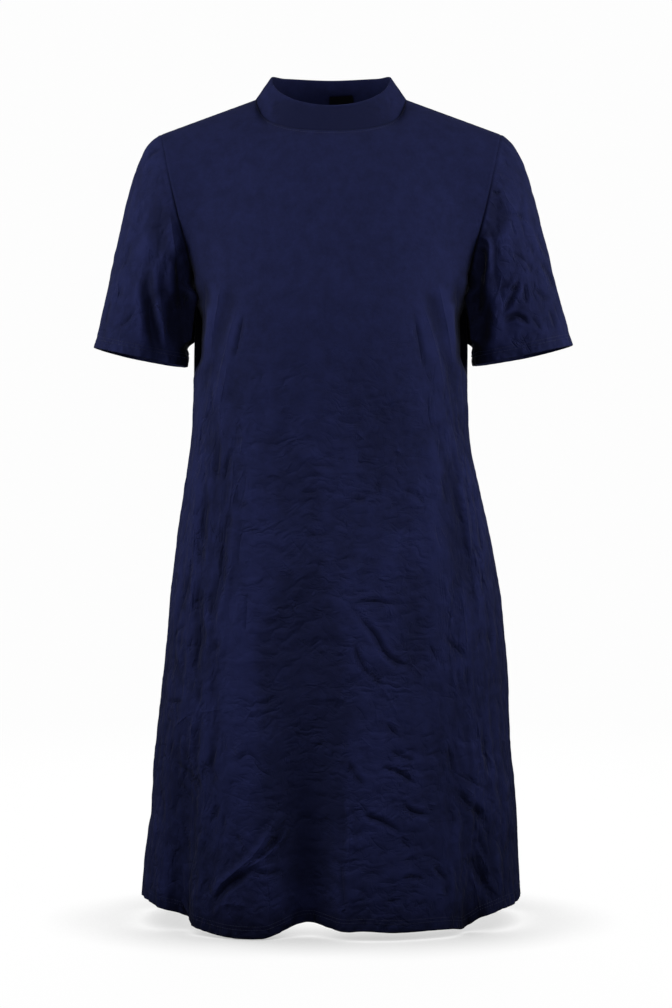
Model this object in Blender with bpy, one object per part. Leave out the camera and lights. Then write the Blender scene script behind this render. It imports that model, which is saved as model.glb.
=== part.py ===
"""Short-sleeved A-line shift dress with a stand-up collar band, hollow and filled out as if worn.

Metres, +Z up.  The dress faces -Y and +X is at the viewer's right.  The origin lies between the
shoulders, level with the neck ends of the shoulder seams, where the garment hangs on its wearer.
Each piece is one closed wall of cloth, and neighbouring pieces stand a hair apart at their seams.
"""

import math

import bmesh
import bpy
import numpy as np

# ---------------------------------------------------------------- driving sizes, in metres
CLOTH = 0.002              # thickness of a wall of cloth
SEAM_GAP = 0.0003          # space between two pieces at a seam
FRONT = -1                 # side signs: the front panel lies towards -Y
BACK = 1

UNDERARM_Z = -0.222        # height of the underarm point
CHEST_Z = -0.252           # height of the same row at the middle of a panel
FULLNESS = 0.84            # under 1, the body's rings are fuller than ellipses
HEM_Z = -0.965             # mean height of the hem

SHOULDER_NECK = (0.0895, -0.006, 0.0005)    # neck end of the shoulder seam
SHOULDER_TIP = (0.203, -0.006, -0.0420)     # sleeve end of the shoulder seam
NECK_SHARE = 0.5           # share of a panel's half width that the neckline takes at the top
CORNER_SPREAD = 0.22       # how wide the corner at the neck is smoothed in the rows below it
YOKE_STRAIGHTNESS = {      # how straight the yoke runs up, at the centre and at the shoulders
    FRONT: (0.45, 0.12),
    BACK: (0.28, -0.06),
}
ARMHOLE_REACH = 3.0        # power with which the pull of the armhole fades across a yoke row

SLEEVE_HEM_DEPTH = 0.050   # half the sleeve hem's depth, front to back

LABEL_ANGLE = 171.0        # degrees round the collar at the middle of the label
LABEL_HALF_ANGLE = 10.5    # degrees of the collar ring that half the label takes
LABEL_RISE = (0.10, 0.46)  # the label's lower and upper edge as shares of the band's height
LABEL_THICKNESS = 0.0008
LABEL_LIFT = 0.0005        # space between the label and the band it is sewn to

PANEL_COLUMNS = 44         # steps across a front or back panel
SKIRT_ROWS = 17            # steps from the hem to the underarm
YOKE_ROWS = 13             # steps from the underarm to the shoulder
SLEEVE_ROWS = 10
COLLAR_ROWS = 4
LABEL_COLUMNS = 6
LABEL_ROWS = 3
SHARP_ANGLE = 50.0         # degrees past which an edge is drawn sharp

# The body of the dress below the underarm, a row for each height.
# height, half width, depth to the front, depth to the back, sway to the viewer's right
BODY_SECTIONS = (
    (-0.190, 0.1575, 0.1215, 0.1130, 0.0000),
    (-0.222, 0.1600, 0.1245, 0.1125, 0.0000),
    (-0.290, 0.1638, 0.1265, 0.1095, 0.0000),
    (-0.345, 0.1640, 0.1235, 0.1055, -0.0005),
    (-0.410, 0.1670, 0.1195, 0.1020, -0.0005),
    (-0.470, 0.1775, 0.1215, 0.1060, 0.0010),
    (-0.556, 0.1920, 0.1295, 0.1175, 0.0050),
    (-0.671, 0.2045, 0.1395, 0.1300, 0.0055),
    (-0.786, 0.2135, 0.1480, 0.1400, 0.0025),
    (-0.850, 0.2185, 0.1525, 0.1455, 0.0040),
    (-0.902, 0.2235, 0.1565, 0.1500, 0.0010),
    (-0.985, 0.2290, 0.1620, 0.1570, 0.0000),
)

# Height of the hem; -1 and 1 are the side seams.
# place across, front, back
HEM_HEIGHTS = (
    (-1.00, -0.9470, -0.9470),
    (-0.80, -0.9493, -0.9520),
    (-0.66, -0.9570, -0.9570),
    (-0.55, -0.9675, -0.9610),
    (-0.46, -0.9722, -0.9630),
    (-0.30, -0.9782, -0.9660),
    (-0.18, -0.9775, -0.9667),
    (0.00, -0.9755, -0.9680),
    (0.07, -0.9694, -0.9678),
    (0.20, -0.9704, -0.9673),
    (0.43, -0.9712, -0.9645),
    (0.51, -0.9742, -0.9620),
    (0.60, -0.9615, -0.9600),
    (0.80, -0.9532, -0.9540),
    (1.00, -0.9470, -0.9470),
)

# One armhole, from the underarm up to the shoulder tip, front and back.
# rise, x, front y, back y, z
ARMHOLE = (
    (0.00, 0.1600, 0.000, 0.000, -0.2220),
    (0.14, 0.1622, -0.031, 0.032, -0.2145),
    (0.32, 0.1705, -0.052, 0.056, -0.1800),
    (0.52, 0.1815, -0.058, 0.064, -0.1380),
    (0.76, 0.1940, -0.045, 0.051, -0.0830),
    (1.00, 0.2030, -0.006, -0.006, -0.0420),
)

# The neck seam and the collar's top edge as rings; 0 degrees is the centre front.
# degrees, x, y, z
NECK_SEAM = (
    (0.0, 0.0000, -0.0680, -0.0454),
    (36.0, 0.0523, -0.0560, -0.0396),
    (62.0, 0.0786, -0.0345, -0.0262),
    (90.0, 0.0895, -0.0060, 0.0005),
    (130.0, 0.0690, 0.0400, 0.0040),
    (180.0, 0.0000, 0.0640, -0.0015),
)
COLLAR_TOP = (
    (0.0, 0.0000, -0.0600, -0.0155),
    (36.0, 0.0426, -0.0490, -0.0075),
    (62.0, 0.0640, -0.0280, 0.0070),
    (90.0, 0.0725, -0.0020, 0.0260),
    (130.0, 0.0560, 0.0345, 0.0312),
    (180.0, 0.0000, 0.0540, 0.0320),
)

# Flutes of the skirt.  A negative depth is a trough, a positive one a lobe.
# side, place across (-1 to 1), height where it starts, depth at the hem, half width, hem lift
FLUTES = (
    (FRONT, -0.075, -0.700, -0.031, 0.150, 0.0145),
    (FRONT, -0.590, -0.740, -0.024, 0.120, 0.000),
    (FRONT, 0.530, -0.800, -0.018, 0.120, 0.000),
    (FRONT, -0.310, -0.660, 0.009, 0.190, 0.000),
    (FRONT, 0.215, -0.640, 0.008, 0.240, 0.000),
    (BACK, -0.620, -0.700, -0.022, 0.130, 0.006),
    (BACK, -0.160, -0.620, -0.030, 0.150, 0.010),
    (BACK, 0.270, -0.740, -0.020, 0.120, 0.005),
    (BACK, 0.660, -0.690, -0.024, 0.130, 0.006),
    (BACK, -0.400, -0.620, 0.009, 0.190, 0.000),
    (BACK, 0.060, -0.640, 0.008, 0.160, 0.000),
    (BACK, 0.470, -0.680, 0.008, 0.170, 0.000),
)

# The sleeve hems as seen from the front; side 1 is at +X.
# side, x and z of the edge away from the body, x and z of the edge next to it, sideways lean
SLEEVE_HEMS = (
    (-1, 0.2840, -0.2960, 0.1720, -0.3190, 0.230),
    (1, 0.2900, -0.2930, 0.1705, -0.3175, 0.290),
)
SLEEVE_HEM_SAG = 0.0018    # how much lower the hem hangs at the front and back of the sleeve

# Where the inner flanks of a sleeve lie against the side of the body
LAID_GAP = 0.0008          # space left between the two
LAID_TURN = 28.0           # degrees from the sleeve's innermost line to the middle of a flank
LAID_HALF_WIDTH = 30.0
LAID_TOP = -0.222          # heights between which they lie there, and how softly that begins
LAID_BOTTOM = -0.306
LAID_FADE = 0.018

# How a sleeve's cloth leaves the armhole, and how far it runs straight into the hem, at three
# places round the sleeve: outwards, forwards, down, straight run.
CAP_RUN = (0.036, 0.0, 0.0125, 0.150)
FLANK_RUN = (0.018, 0.012, 0.0260, 0.075)
UNDERARM_RUN = (0.003, 0.0, 0.0220, 0.030)

# Long folds of the sleeves, each a trough that runs down to the hem.
# side of the body, degrees round the sleeve (90 is its front), start along it, depth, half width
SLEEVE_FOLDS = (
    (-1, 118.0, 0.35, 0.0060, 32.0),
    (-1, 262.0, 0.30, 0.0045, 34.0),
    (1, 98.0, 0.30, 0.0045, 34.0),
    (1, 248.0, 0.35, 0.0050, 32.0),
)

NAVY = (0.0103, 0.0131, 0.0513)         # linear colour of the jersey
LABEL_DARK = (0.0120, 0.0118, 0.0160)


# ---------------------------------------------------------------- curves through the tables
def slopes(knots, values):
    """Give a smooth tangent at each knot of an open table."""
    return np.gradient(values, knots, axis=0)


def hermite(knots, values, tangents, at):
    """Read a smooth curve through the knots at the places asked for."""
    at = np.atleast_1d(np.asarray(at, float))
    cell = np.clip(np.searchsorted(knots, at, side="right") - 1, 0, len(knots) - 2)
    span = knots[cell + 1] - knots[cell]
    part = ((at - knots[cell]) / span)[:, None]
    span = span[:, None]
    start = (1 + 2 * part) * (1 - part) ** 2 * values[cell]
    leave = part * (1 - part) ** 2 * span * tangents[cell]
    end = part ** 2 * (3 - 2 * part) * values[cell + 1]
    arrive = part ** 2 * (part - 1) * span * tangents[cell + 1]
    return start + leave + end + arrive


def body_sizes(height):
    """Half width, front depth, back depth and sway of the dress at each height."""
    table = np.array(BODY_SECTIONS)[::-1]
    knots, values = table[:, 0], table[:, 1:]
    return hermite(knots, values, slopes(knots, values), height)


def closed_curve(knots, values, period, at):
    """Read a smooth closed curve whose knots repeat after one period."""
    around_knots = np.concatenate([knots - period, knots, knots + period])
    around_values = np.concatenate([values, values, values])
    tangents = slopes(around_knots, around_values)
    return hermite(around_knots, around_values, tangents, np.mod(at, period))


def neck_ring(table, degrees):
    """Points of a ring of the neck, whose table gives its right half."""
    rows = np.array(table)
    mirrored = rows[1:-1][::-1] * (-1, -1, 1, 1) + (360.0, 0, 0, 0)
    ring = np.concatenate([rows, mirrored])
    return closed_curve(ring[:, 0], ring[:, 1:], 360.0, np.asarray(degrees, float))


def armhole_ring(turn):
    """Points of the right armhole: 0 the underarm, 0.5 its front, 1 the shoulder, 1.5 its back."""
    rows = np.array(ARMHOLE)
    front = rows[:, (1, 2, 4)]
    back = rows[1:-1][::-1][:, (1, 3, 4)]
    knots = np.concatenate([rows[:, 0], 2.0 - rows[1:-1, 0][::-1]])
    return closed_curve(knots, np.concatenate([front, back]), 2.0, np.asarray(turn, float))


# ---------------------------------------------------------------- front and back panels
def yoke_rises():
    """Steps of the yoke from the underarm, 0, to the shoulder, 1."""
    return np.linspace(0.0, 1.0, YOKE_ROWS + 1)


def hem_height(side, across):
    """Height of the hem, lifted in each trough."""
    table = np.array(HEM_HEIGHTS)
    column = 1 if side == FRONT else 2
    knots, values = table[:, 0], table[:, column:column + 1]
    height = hermite(knots, values, slopes(knots, values), across)[:, 0]
    for flute_side, place, _, _, half_width, lift in FLUTES:
        if flute_side == side:
            height = height + lift * bump((across - place) / half_width)
    return height


def bump(offset):
    """A soft bump that is 1 at 0 and 0 from -1 and 1 outwards."""
    return np.where(np.abs(offset) < 1, np.cos(np.clip(offset, -1, 1) * math.pi / 2) ** 2, 0.0)


def ease(share):
    """Rise softly from 0 to 1 as the share does."""
    share = np.clip(share, 0, 1)
    return share * share * (3 - 2 * share)


def flute_depth(side, across, level_z):
    """How far the flutes push a row of the skirt in or out."""
    depth = np.zeros_like(across)
    for flute_side, place, start, hem_depth, half_width, _ in FLUTES:
        if flute_side == side:
            grown = np.clip((start - level_z) / (start - HEM_Z), 0, 1)
            depth += hem_depth * grown ** 1.3 * bump((across - place) / half_width)
    return depth


def skirt_row(side, across, level):
    """A row of the body below the armholes; level 0 is the hem and 1 the underarm."""
    level_z = HEM_Z + (CHEST_Z - HEM_Z) * level
    height = level_z + (hem_height(side, across) - HEM_Z) * (1 - level) ** 2
    height = height + (UNDERARM_Z - CHEST_Z) * np.abs(across) ** 6 * level ** 4
    sizes = body_sizes(height)
    half_width = sizes[:, 0]
    depth = sizes[:, 1] if side == FRONT else sizes[:, 2]
    angle = across * math.pi / 2
    push = flute_depth(side, across, level_z)
    x = sizes[:, 3] + (half_width + push * np.abs(np.sin(angle))) * np.sin(angle)
    y = side * (depth * np.cos(angle) ** FULLNESS + push * np.cos(angle))
    return np.stack([x, y, height], axis=1)


def top_row(side, across):
    """The upper edge of a panel: shoulder seam, neckline and shoulder seam."""
    turn = across / NECK_SHARE * 90.0
    neck = neck_ring(NECK_SEAM, turn if side == FRONT else 180.0 - turn)
    along = np.clip((np.abs(across) - NECK_SHARE) / (1 - NECK_SHARE), 0, 1)[:, None]
    seam = np.array(SHOULDER_NECK) + (np.array(SHOULDER_TIP) - np.array(SHOULDER_NECK)) * along
    seam[:, 0] *= np.sign(across)
    return np.where((np.abs(across) <= NECK_SHARE)[:, None], neck, seam)


def softened_top(side, across, rise):
    """The upper edge as a lower row sees it, with the corner at the neck smoothed away."""
    spread = CORNER_SPREAD * (1 - rise) ** 0.7
    total = np.zeros((len(across), 3))
    weights = 0.0
    for offset in np.linspace(-2.0, 2.0, 9):
        weight = math.exp(-offset ** 2 / 2)
        total += weight * top_row(side, np.clip(across + offset * spread, -1, 1))
        weights += weight
    return total / weights


def yoke_row(side, across, rise):
    """A row between the underarm and the shoulder, bent to the armholes at its ends."""
    low = skirt_row(side, across, 1.0)
    high = softened_top(side, across, rise)
    round_share = 1 - math.cos(rise * math.pi / 2)
    straight_centre, straight_shoulder = YOKE_STRAIGHTNESS[side]
    straight = straight_centre + (straight_shoulder - straight_centre) * bump(1 - np.abs(across))
    row = low + (high - low) * rise
    rounded_y = low[:, 1] + (high[:, 1] - low[:, 1]) * round_share
    rounded_z = low[:, 2] + (high[:, 2] - low[:, 2]) * math.sin(rise * math.pi / 2)
    row[:, 1] = rounded_y + (row[:, 1] - rounded_y) * straight
    row[:, 2] = rounded_z + (row[:, 2] - rounded_z) * straight
    edge = armhole_ring(rise if side == FRONT else 2.0 - rise)[0]
    share = np.abs(across) ** ARMHOLE_REACH
    for end in (0, -1):
        sign = -1 if end == 0 else 1
        miss = edge * (sign, 1, 1) - row[end]
        reach = np.where(across * sign > 0, share, 0.0)
        row = row + reach[:, None] * miss
    return row


def panel_surface(side):
    """The outer surface of the front or back as rows from the hem to the shoulders."""
    across = np.linspace(-1.0, 1.0, PANEL_COLUMNS + 1)
    rows = [skirt_row(side, across, level) for level in np.linspace(0, 1, SKIRT_ROWS + 1)]
    rows += [yoke_row(side, across, rise) for rise in yoke_rises()[1:]]
    return np.array(rows)


def wall_normals(grid, closed):
    """Unit normals of a grid of points; closed joins its last column to its first."""
    if closed:
        wide = np.concatenate([grid[:, -1:], grid, grid[:, :1]], axis=1)
        along = np.gradient(wide, axis=1)[:, 1:-1]
    else:
        along = np.gradient(grid, axis=1)
    up = np.gradient(grid, axis=0)
    normal = np.cross(along, up)
    return normal / np.linalg.norm(normal, axis=2, keepdims=True)


def build_panel(name, side):
    """Make the front or back panel as one wall of cloth."""
    outer = panel_surface(side)
    inward = wall_normals(outer, closed=False) * side
    inward[:SKIRT_ROWS + 1, 0] = (1, 0, 0)
    inward[:SKIRT_ROWS + 1, -1] = (-1, 0, 0)
    across = np.linspace(-1.0, 1.0, PANEL_COLUMNS + 1)
    inward[-1, np.abs(across) >= NECK_SHARE] = (0, 0, -1)
    outer[:SKIRT_ROWS + 1, (0, -1), 1] += side * SEAM_GAP / 2
    outer[-1, np.abs(across) >= NECK_SHARE, 1] += side * SEAM_GAP / 2
    return wall_object(name, outer, outer + inward * CLOTH, False, "jersey", NAVY)


# ---------------------------------------------------------------- sleeves
ARMHOLE_GAP = 0.0005                        # space between a sleeve and the armhole's edge
UNDERARM_EXTRA_GAP = 0.0004                 # and what the tight fold under the arm adds to it
ARMHOLE_WAY = np.array([1.0, 0.0, 0.0])     # direction of that space
UNDERARM_WAY = np.array([0.55, 0.0, 0.80])  # and its direction under the arm


def laid_on_body(side, angle, ring):
    """Move the inner flanks of a sleeve's ring against the side of the body, where they lie on it."""
    from_inner = np.abs(np.degrees(angle) - 180.0)
    share = bump((from_inner - LAID_TURN) / LAID_HALF_WIDTH)
    share = share * ease((LAID_TOP - ring[:, 2]) / LAID_FADE)
    share = share * ease((ring[:, 2] - LAID_BOTTOM) / LAID_FADE)
    sizes = body_sizes(ring[:, 2])
    depth = np.where(ring[:, 1] < 0, sizes[:, 1], sizes[:, 2])
    cosine = np.clip(np.abs(ring[:, 1]) / depth, 0, 1) ** (1 / FULLNESS)
    body_x = side * sizes[:, 3] + sizes[:, 0] * np.sqrt(1 - cosine ** 2)
    laid = ring.copy()
    laid[:, 0] += np.minimum(body_x + LAID_GAP - ring[:, 0], 0.0) * share
    return laid


def sleeve_surface(side):
    """The outer surface of a sleeve as rings from the armhole to the hem; side 1 is at +X.

    The first point of a ring is its top, and the points run on over its front and underside.
    """
    turn = np.arange(2 * YOKE_ROWS) / (2 * YOKE_ROWS)
    armhole = armhole_ring(1.0 - 2.0 * turn)
    angle = turn * 2 * math.pi
    hem_row = [row for row in SLEEVE_HEMS if row[0] == side][0]
    _, outer_x, outer_z, inner_x, inner_z, lean = hem_row
    middle = np.array([(outer_x + inner_x) / 2, 0.0, (outer_z + inner_z) / 2])
    wide = np.array([(outer_x - inner_x) / 2, 0.0, (outer_z - inner_z) / 2])
    deep = np.array([0.0, -SLEEVE_HEM_DEPTH, 0.0])
    top = np.clip(np.cos(angle), 0, 1)[:, None] ** 2
    flank = np.sin(angle)[:, None] ** 2
    under = np.clip(-np.cos(angle), 0, 1)[:, None] ** 2
    hem = middle + np.cos(angle)[:, None] * wide + np.sin(angle)[:, None] * deep
    hem[:, 2] -= SLEEVE_HEM_SAG * np.sin(angle) ** 2
    run = top * np.array(CAP_RUN) + flank * np.array(FLANK_RUN) + under * np.array(UNDERARM_RUN)
    leave = np.stack([run[:, 0], -run[:, 1] * np.sin(angle), -run[:, 2]], axis=1)
    hang = np.array([lean, 0.0, -math.sqrt(1 - lean ** 2)])
    arrive = -hang * run[:, 3:]
    away = UNDERARM_WAY * under + ARMHOLE_WAY * (1 - under)
    start = armhole + away * (ARMHOLE_GAP + UNDERARM_EXTRA_GAP * under)
    rings = []
    for step in np.linspace(0, 1, SLEEVE_ROWS + 1):
        ring = ((1 - step) ** 3 * start + 3 * (1 - step) ** 2 * step * (start + leave)
                + 3 * (1 - step) * step ** 2 * (hem + arrive) + step ** 3 * hem)
        ring = laid_on_body(side, angle, ring)
        rings.append(ring + sleeve_fold_shift(side, angle, step, ring))
    surface = np.array(rings)
    surface[:, :, 0] *= side
    return surface


def sleeve_fold_shift(side, angle, step, ring):
    """How far the long folds move the points of a sleeve's ring towards its middle."""
    shift = np.zeros_like(ring)
    inward = ring.mean(axis=0) - ring
    inward = inward / np.linalg.norm(inward, axis=1, keepdims=True)
    for fold_side, place, start, depth, half_width in SLEEVE_FOLDS:
        if fold_side == side:
            grown = np.clip((step - start) / (1 - start), 0, 1) ** 0.7
            offset = (np.degrees(angle) - place) / half_width
            shift += inward * (depth * grown * bump(offset))[:, None]
    return shift


def build_sleeve(name, side):
    """Make one sleeve as a wall of cloth that starts at the armhole's edge."""
    outer = sleeve_surface(side)
    inward = -wall_normals(outer, closed=True) * side
    edge = inward[0]
    edge[:, 0] = np.where(edge[:, 0] * side < 0, 0.0, edge[:, 0])
    inward[0] = edge / np.linalg.norm(edge, axis=1, keepdims=True)
    return wall_object(name, outer, outer + inward * CLOTH, True, "jersey", NAVY)


# ---------------------------------------------------------------- collar and label
COLLAR_GAP = 0.0004        # space between the collar and the neckline
COLLAR_SLANT = 0.3         # how far the collar's thickness follows its slope


def collar_surfaces():
    """Outer and inner surface of the collar band, as rings from the neck seam up."""
    degrees = np.arange(PANEL_COLUMNS) * 360.0 / PANEL_COLUMNS
    seam = neck_ring(NECK_SEAM, degrees)
    top = neck_ring(COLLAR_TOP, degrees)
    up = (top - seam) / np.linalg.norm(top - seam, axis=1, keepdims=True)
    seam = seam + up * COLLAR_GAP
    steps = np.linspace(0, 1, COLLAR_ROWS + 1)
    outer = np.array([seam + (top - seam) * step for step in steps])
    inward = -wall_normals(outer, closed=True)
    inward[:, :, 2] = np.minimum(inward[:, :, 2], 0.0) * COLLAR_SLANT
    inward /= np.linalg.norm(inward, axis=2, keepdims=True)
    return outer, outer + inward * CLOTH


def build_collar():
    """Make the collar band as one closed ring of cloth."""
    outer, inner = collar_surfaces()
    return wall_object("collar", outer, inner, True, "jersey", NAVY)


def between(grid, row, column):
    """A point inside a grid, by its fractional row and column."""
    low_row, low_column = int(min(row, grid.shape[0] - 2)), int(column)
    part_row, part_column = row - low_row, column - low_column
    corners = grid[low_row:low_row + 2, low_column:low_column + 2]
    side = corners[0] * (1 - part_row) + corners[1] * part_row
    return side[0] * (1 - part_column) + side[1] * part_column


def build_label():
    """Make the small plain label inside the centre back of the collar."""
    outer, inner = collar_surfaces()
    column_degrees = 360.0 / outer.shape[1]
    degrees = LABEL_ANGLE + np.linspace(-LABEL_HALF_ANGLE, LABEL_HALF_ANGLE, LABEL_COLUMNS + 1)
    columns = degrees / column_degrees
    rows = np.linspace(*LABEL_RISE, LABEL_ROWS + 1) * COLLAR_ROWS
    band_inner = np.array([[between(inner, row, column) for column in columns] for row in rows])
    band_outer = np.array([[between(outer, row, column) for column in columns] for row in rows])
    inward = band_inner - band_outer
    inward /= np.linalg.norm(inward, axis=2, keepdims=True)
    near = band_inner + inward * LABEL_LIFT
    far = near + inward * LABEL_THICKNESS
    return wall_object("neck_label", near, far, False, "label", LABEL_DARK)


# ---------------------------------------------------------------- meshes
def finish_material(name, colour, roughness):
    """A plain Principled material for one piece."""
    material = bpy.data.materials.new(name)
    material.use_nodes = True
    shader = material.node_tree.nodes["Principled BSDF"]
    shader.inputs["Base Color"].default_value = (*colour, 1.0)
    shader.inputs["Roughness"].default_value = roughness
    shader.inputs["Metallic"].default_value = 0.0
    return material


def wall_object(name, outer, inner, closed, finish, colour):
    """Join two grids of points into one closed wall and add it to the scene."""
    rows, columns = outer.shape[:2]
    points = np.concatenate([outer.reshape(-1, 3), inner.reshape(-1, 3)])
    skin = rows * columns
    last = columns if closed else columns - 1
    faces = []
    for row in range(rows - 1):
        for column in range(last):
            beside = (column + 1) % columns
            a, b = row * columns + column, row * columns + beside
            c, d = a + columns, b + columns
            faces.append((a, b, d, c))
            faces.append((a + skin, c + skin, d + skin, b + skin))
    for column in range(last):
        beside = (column + 1) % columns
        faces.append((column + skin, beside + skin, beside, column))
        base = (rows - 1) * columns
        faces.append((base + column, base + beside, base + beside + skin, base + column + skin))
    if not closed:
        for row in range(rows - 1):
            a, b = row * columns, (row + 1) * columns
            faces.append((a, b, b + skin, a + skin))
            a, b = a + columns - 1, b + columns - 1
            faces.append((a + skin, b + skin, b, a))
    mesh = bpy.data.meshes.new(name)
    mesh.from_pydata([tuple(point) for point in points], [], faces)
    shape = bmesh.new()
    shape.from_mesh(mesh)
    bmesh.ops.recalc_face_normals(shape, faces=shape.faces)
    bmesh.ops.triangulate(shape, faces=shape.faces)
    shape.to_mesh(mesh)
    shape.free()
    mesh.shade_smooth()
    mesh.set_sharp_from_angle(angle=math.radians(SHARP_ANGLE))
    piece = bpy.data.objects.new(name, mesh)
    piece.data.materials.append(finish_material(f"{name}_{finish}", colour, 0.75))
    bpy.context.collection.objects.link(piece)
    return piece


def main():
    for item in list(bpy.data.objects):
        bpy.data.objects.remove(item, do_unlink=True)
    build_panel("front", FRONT)
    build_panel("back", BACK)
    build_sleeve("sleeve_left", -1)
    build_sleeve("sleeve_right", 1)
    build_collar()
    build_label()


main()
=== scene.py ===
"""Looks of a short-sleeved navy jersey shift dress: creased cloth, seams, stitching and the studio."""
import math

import bmesh
import bpy
import numpy as np
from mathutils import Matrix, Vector, noise


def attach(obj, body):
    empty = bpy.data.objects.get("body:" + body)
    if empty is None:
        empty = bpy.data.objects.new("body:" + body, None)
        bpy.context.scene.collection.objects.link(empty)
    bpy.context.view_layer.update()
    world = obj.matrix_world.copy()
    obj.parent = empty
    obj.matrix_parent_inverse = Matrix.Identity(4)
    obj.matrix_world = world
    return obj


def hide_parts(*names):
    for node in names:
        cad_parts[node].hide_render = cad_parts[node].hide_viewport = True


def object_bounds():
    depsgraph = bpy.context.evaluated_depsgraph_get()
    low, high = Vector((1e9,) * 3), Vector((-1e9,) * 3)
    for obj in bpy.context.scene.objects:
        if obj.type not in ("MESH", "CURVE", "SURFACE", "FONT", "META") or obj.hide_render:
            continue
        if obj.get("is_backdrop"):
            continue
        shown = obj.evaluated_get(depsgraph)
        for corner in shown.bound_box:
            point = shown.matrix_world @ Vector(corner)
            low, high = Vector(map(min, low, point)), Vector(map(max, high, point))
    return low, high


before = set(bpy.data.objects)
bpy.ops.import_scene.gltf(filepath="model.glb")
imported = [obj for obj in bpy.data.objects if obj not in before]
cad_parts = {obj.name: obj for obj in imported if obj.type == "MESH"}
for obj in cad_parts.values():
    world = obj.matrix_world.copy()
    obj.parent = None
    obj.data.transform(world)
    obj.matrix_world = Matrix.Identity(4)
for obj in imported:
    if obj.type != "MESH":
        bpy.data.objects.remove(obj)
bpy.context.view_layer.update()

bl_info = {
    "name": "Navy shift dress",
    "version": (1, 0, 0),
    "blender": (4, 5, 0),
    "location": "3D View > Sidebar > Dress",
    "description": "Cuts, creases and stitches a jersey shift dress on its packed solids",
    "category": "Object",
}

MM = 0.001
FRONT = -1                 # side signs: the front panel lies towards -Y
BACK = 1

# ---------------------------------------------------------------- the cut, as in the solids
UNDERARM_Z = -0.222        # height of the underarm point
CHEST_Z = -0.252           # height of the same row at the middle of a panel
FULLNESS = 0.84            # under 1, the body's rings are fuller than ellipses
HEM_Z = -0.965             # mean height of the hem
SHOULDER_NECK = (0.0895, -0.006, 0.0005)    # neck end of the shoulder seam
SHOULDER_TIP = (0.203, -0.006, -0.0420)     # sleeve end of the shoulder seam
NECK_SHARE = 0.5           # share of a panel's half width that the neckline takes at the top
CORNER_SPREAD = 0.22       # how wide the corner at the neck is smoothed in the rows below it
YOKE_STRAIGHTNESS = {      # how straight the yoke runs up, at the centre and at the shoulders
    FRONT: (0.45, 0.12),
    BACK: (0.28, -0.06),
}
ARMHOLE_REACH = 3.0        # power with which the pull of the armhole fades across a yoke row
SEAM_GAP = 0.00008         # space between two pieces at a seam, drawn almost shut for the looks
SEAM_SLANT = 0.0003        # how far the side seams' gap slants through the cloth, so that it hides
ARMHOLE_GAP = 0.00015      # space between a sleeve and the armhole's edge
ARMHOLE_WAY = np.array([1.0, 0.0, 0.0])       # which way the sleeve's edge stands off the armhole
UNDERARM_WAY = np.array([0.55, 0.0, 0.80])    # the same at the underarm
COLLAR_GAP = 0.00005       # space between the collar and the neckline
COLLAR_SLANT = 0.3         # how far the collar's thickness follows its slope
COLLAR_FRONT_SHADE = 1.6              # how much darker the band's colour is painted at the front, painted shade
LABEL_ANGLE = 171.0        # degrees round the collar at the middle of the label
LABEL_HALF_ANGLE = 10.5
LABEL_RISE = (0.10, 0.46)  # the label's lower and upper edge as shares of the band's height
LABEL_THICKNESS = 0.0008
LABEL_LIFT = 0.0005        # space between the label and the band it is sewn to
LABEL_ARCH = 0.0005        # how much farther its middle stands off
LABEL_POINTS = (10, 40)    # its points up and along
BAND_PLACES = 1440         # places round the band that the label's points are picked from

# height, half width, depth to the front, depth to the back, sway to the viewer's right
BODY_SECTIONS = (
    (-0.190, 0.1575, 0.1215, 0.1130, 0.0000),
    (-0.222, 0.1600, 0.1245, 0.1125, 0.0000),
    (-0.290, 0.1638, 0.1265, 0.1095, 0.0000),
    (-0.345, 0.1640, 0.1235, 0.1055, -0.0005),
    (-0.410, 0.1670, 0.1195, 0.1020, -0.0005),
    (-0.470, 0.1775, 0.1215, 0.1060, 0.0010),
    (-0.556, 0.1920, 0.1295, 0.1175, 0.0050),
    (-0.671, 0.2045, 0.1395, 0.1300, 0.0055),
    (-0.786, 0.2135, 0.1480, 0.1400, 0.0025),
    (-0.850, 0.2185, 0.1525, 0.1455, 0.0040),
    (-0.902, 0.2235, 0.1565, 0.1500, 0.0010),
    (-0.985, 0.2290, 0.1620, 0.1570, 0.0000),
)

# place across, height of the hem at the front and at the back; -1 and 1 are the side seams
HEM_HEIGHTS = (
    (-1.00, -0.9470, -0.9470),
    (-0.80, -0.9493, -0.9520),
    (-0.66, -0.9570, -0.9570),
    (-0.55, -0.9675, -0.9610),
    (-0.46, -0.9722, -0.9630),
    (-0.30, -0.9782, -0.9660),
    (-0.18, -0.9775, -0.9667),
    (0.00, -0.9755, -0.9680),
    (0.07, -0.9694, -0.9678),
    (0.20, -0.9704, -0.9673),
    (0.43, -0.9712, -0.9645),
    (0.51, -0.9742, -0.9620),
    (0.60, -0.9615, -0.9600),
    (0.80, -0.9532, -0.9540),
    (1.00, -0.9470, -0.9470),
)

# rise, x, front y, back y, z of one armhole, from the underarm up to the shoulder tip
ARMHOLE = (
    (0.00, 0.1600, 0.000, 0.000, -0.2220),
    (0.14, 0.1622, -0.031, 0.032, -0.2145),
    (0.32, 0.1705, -0.052, 0.056, -0.1800),
    (0.52, 0.1815, -0.058, 0.064, -0.1380),
    (0.76, 0.1940, -0.045, 0.051, -0.0830),
    (1.00, 0.2030, -0.006, -0.006, -0.0420),
)

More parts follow.
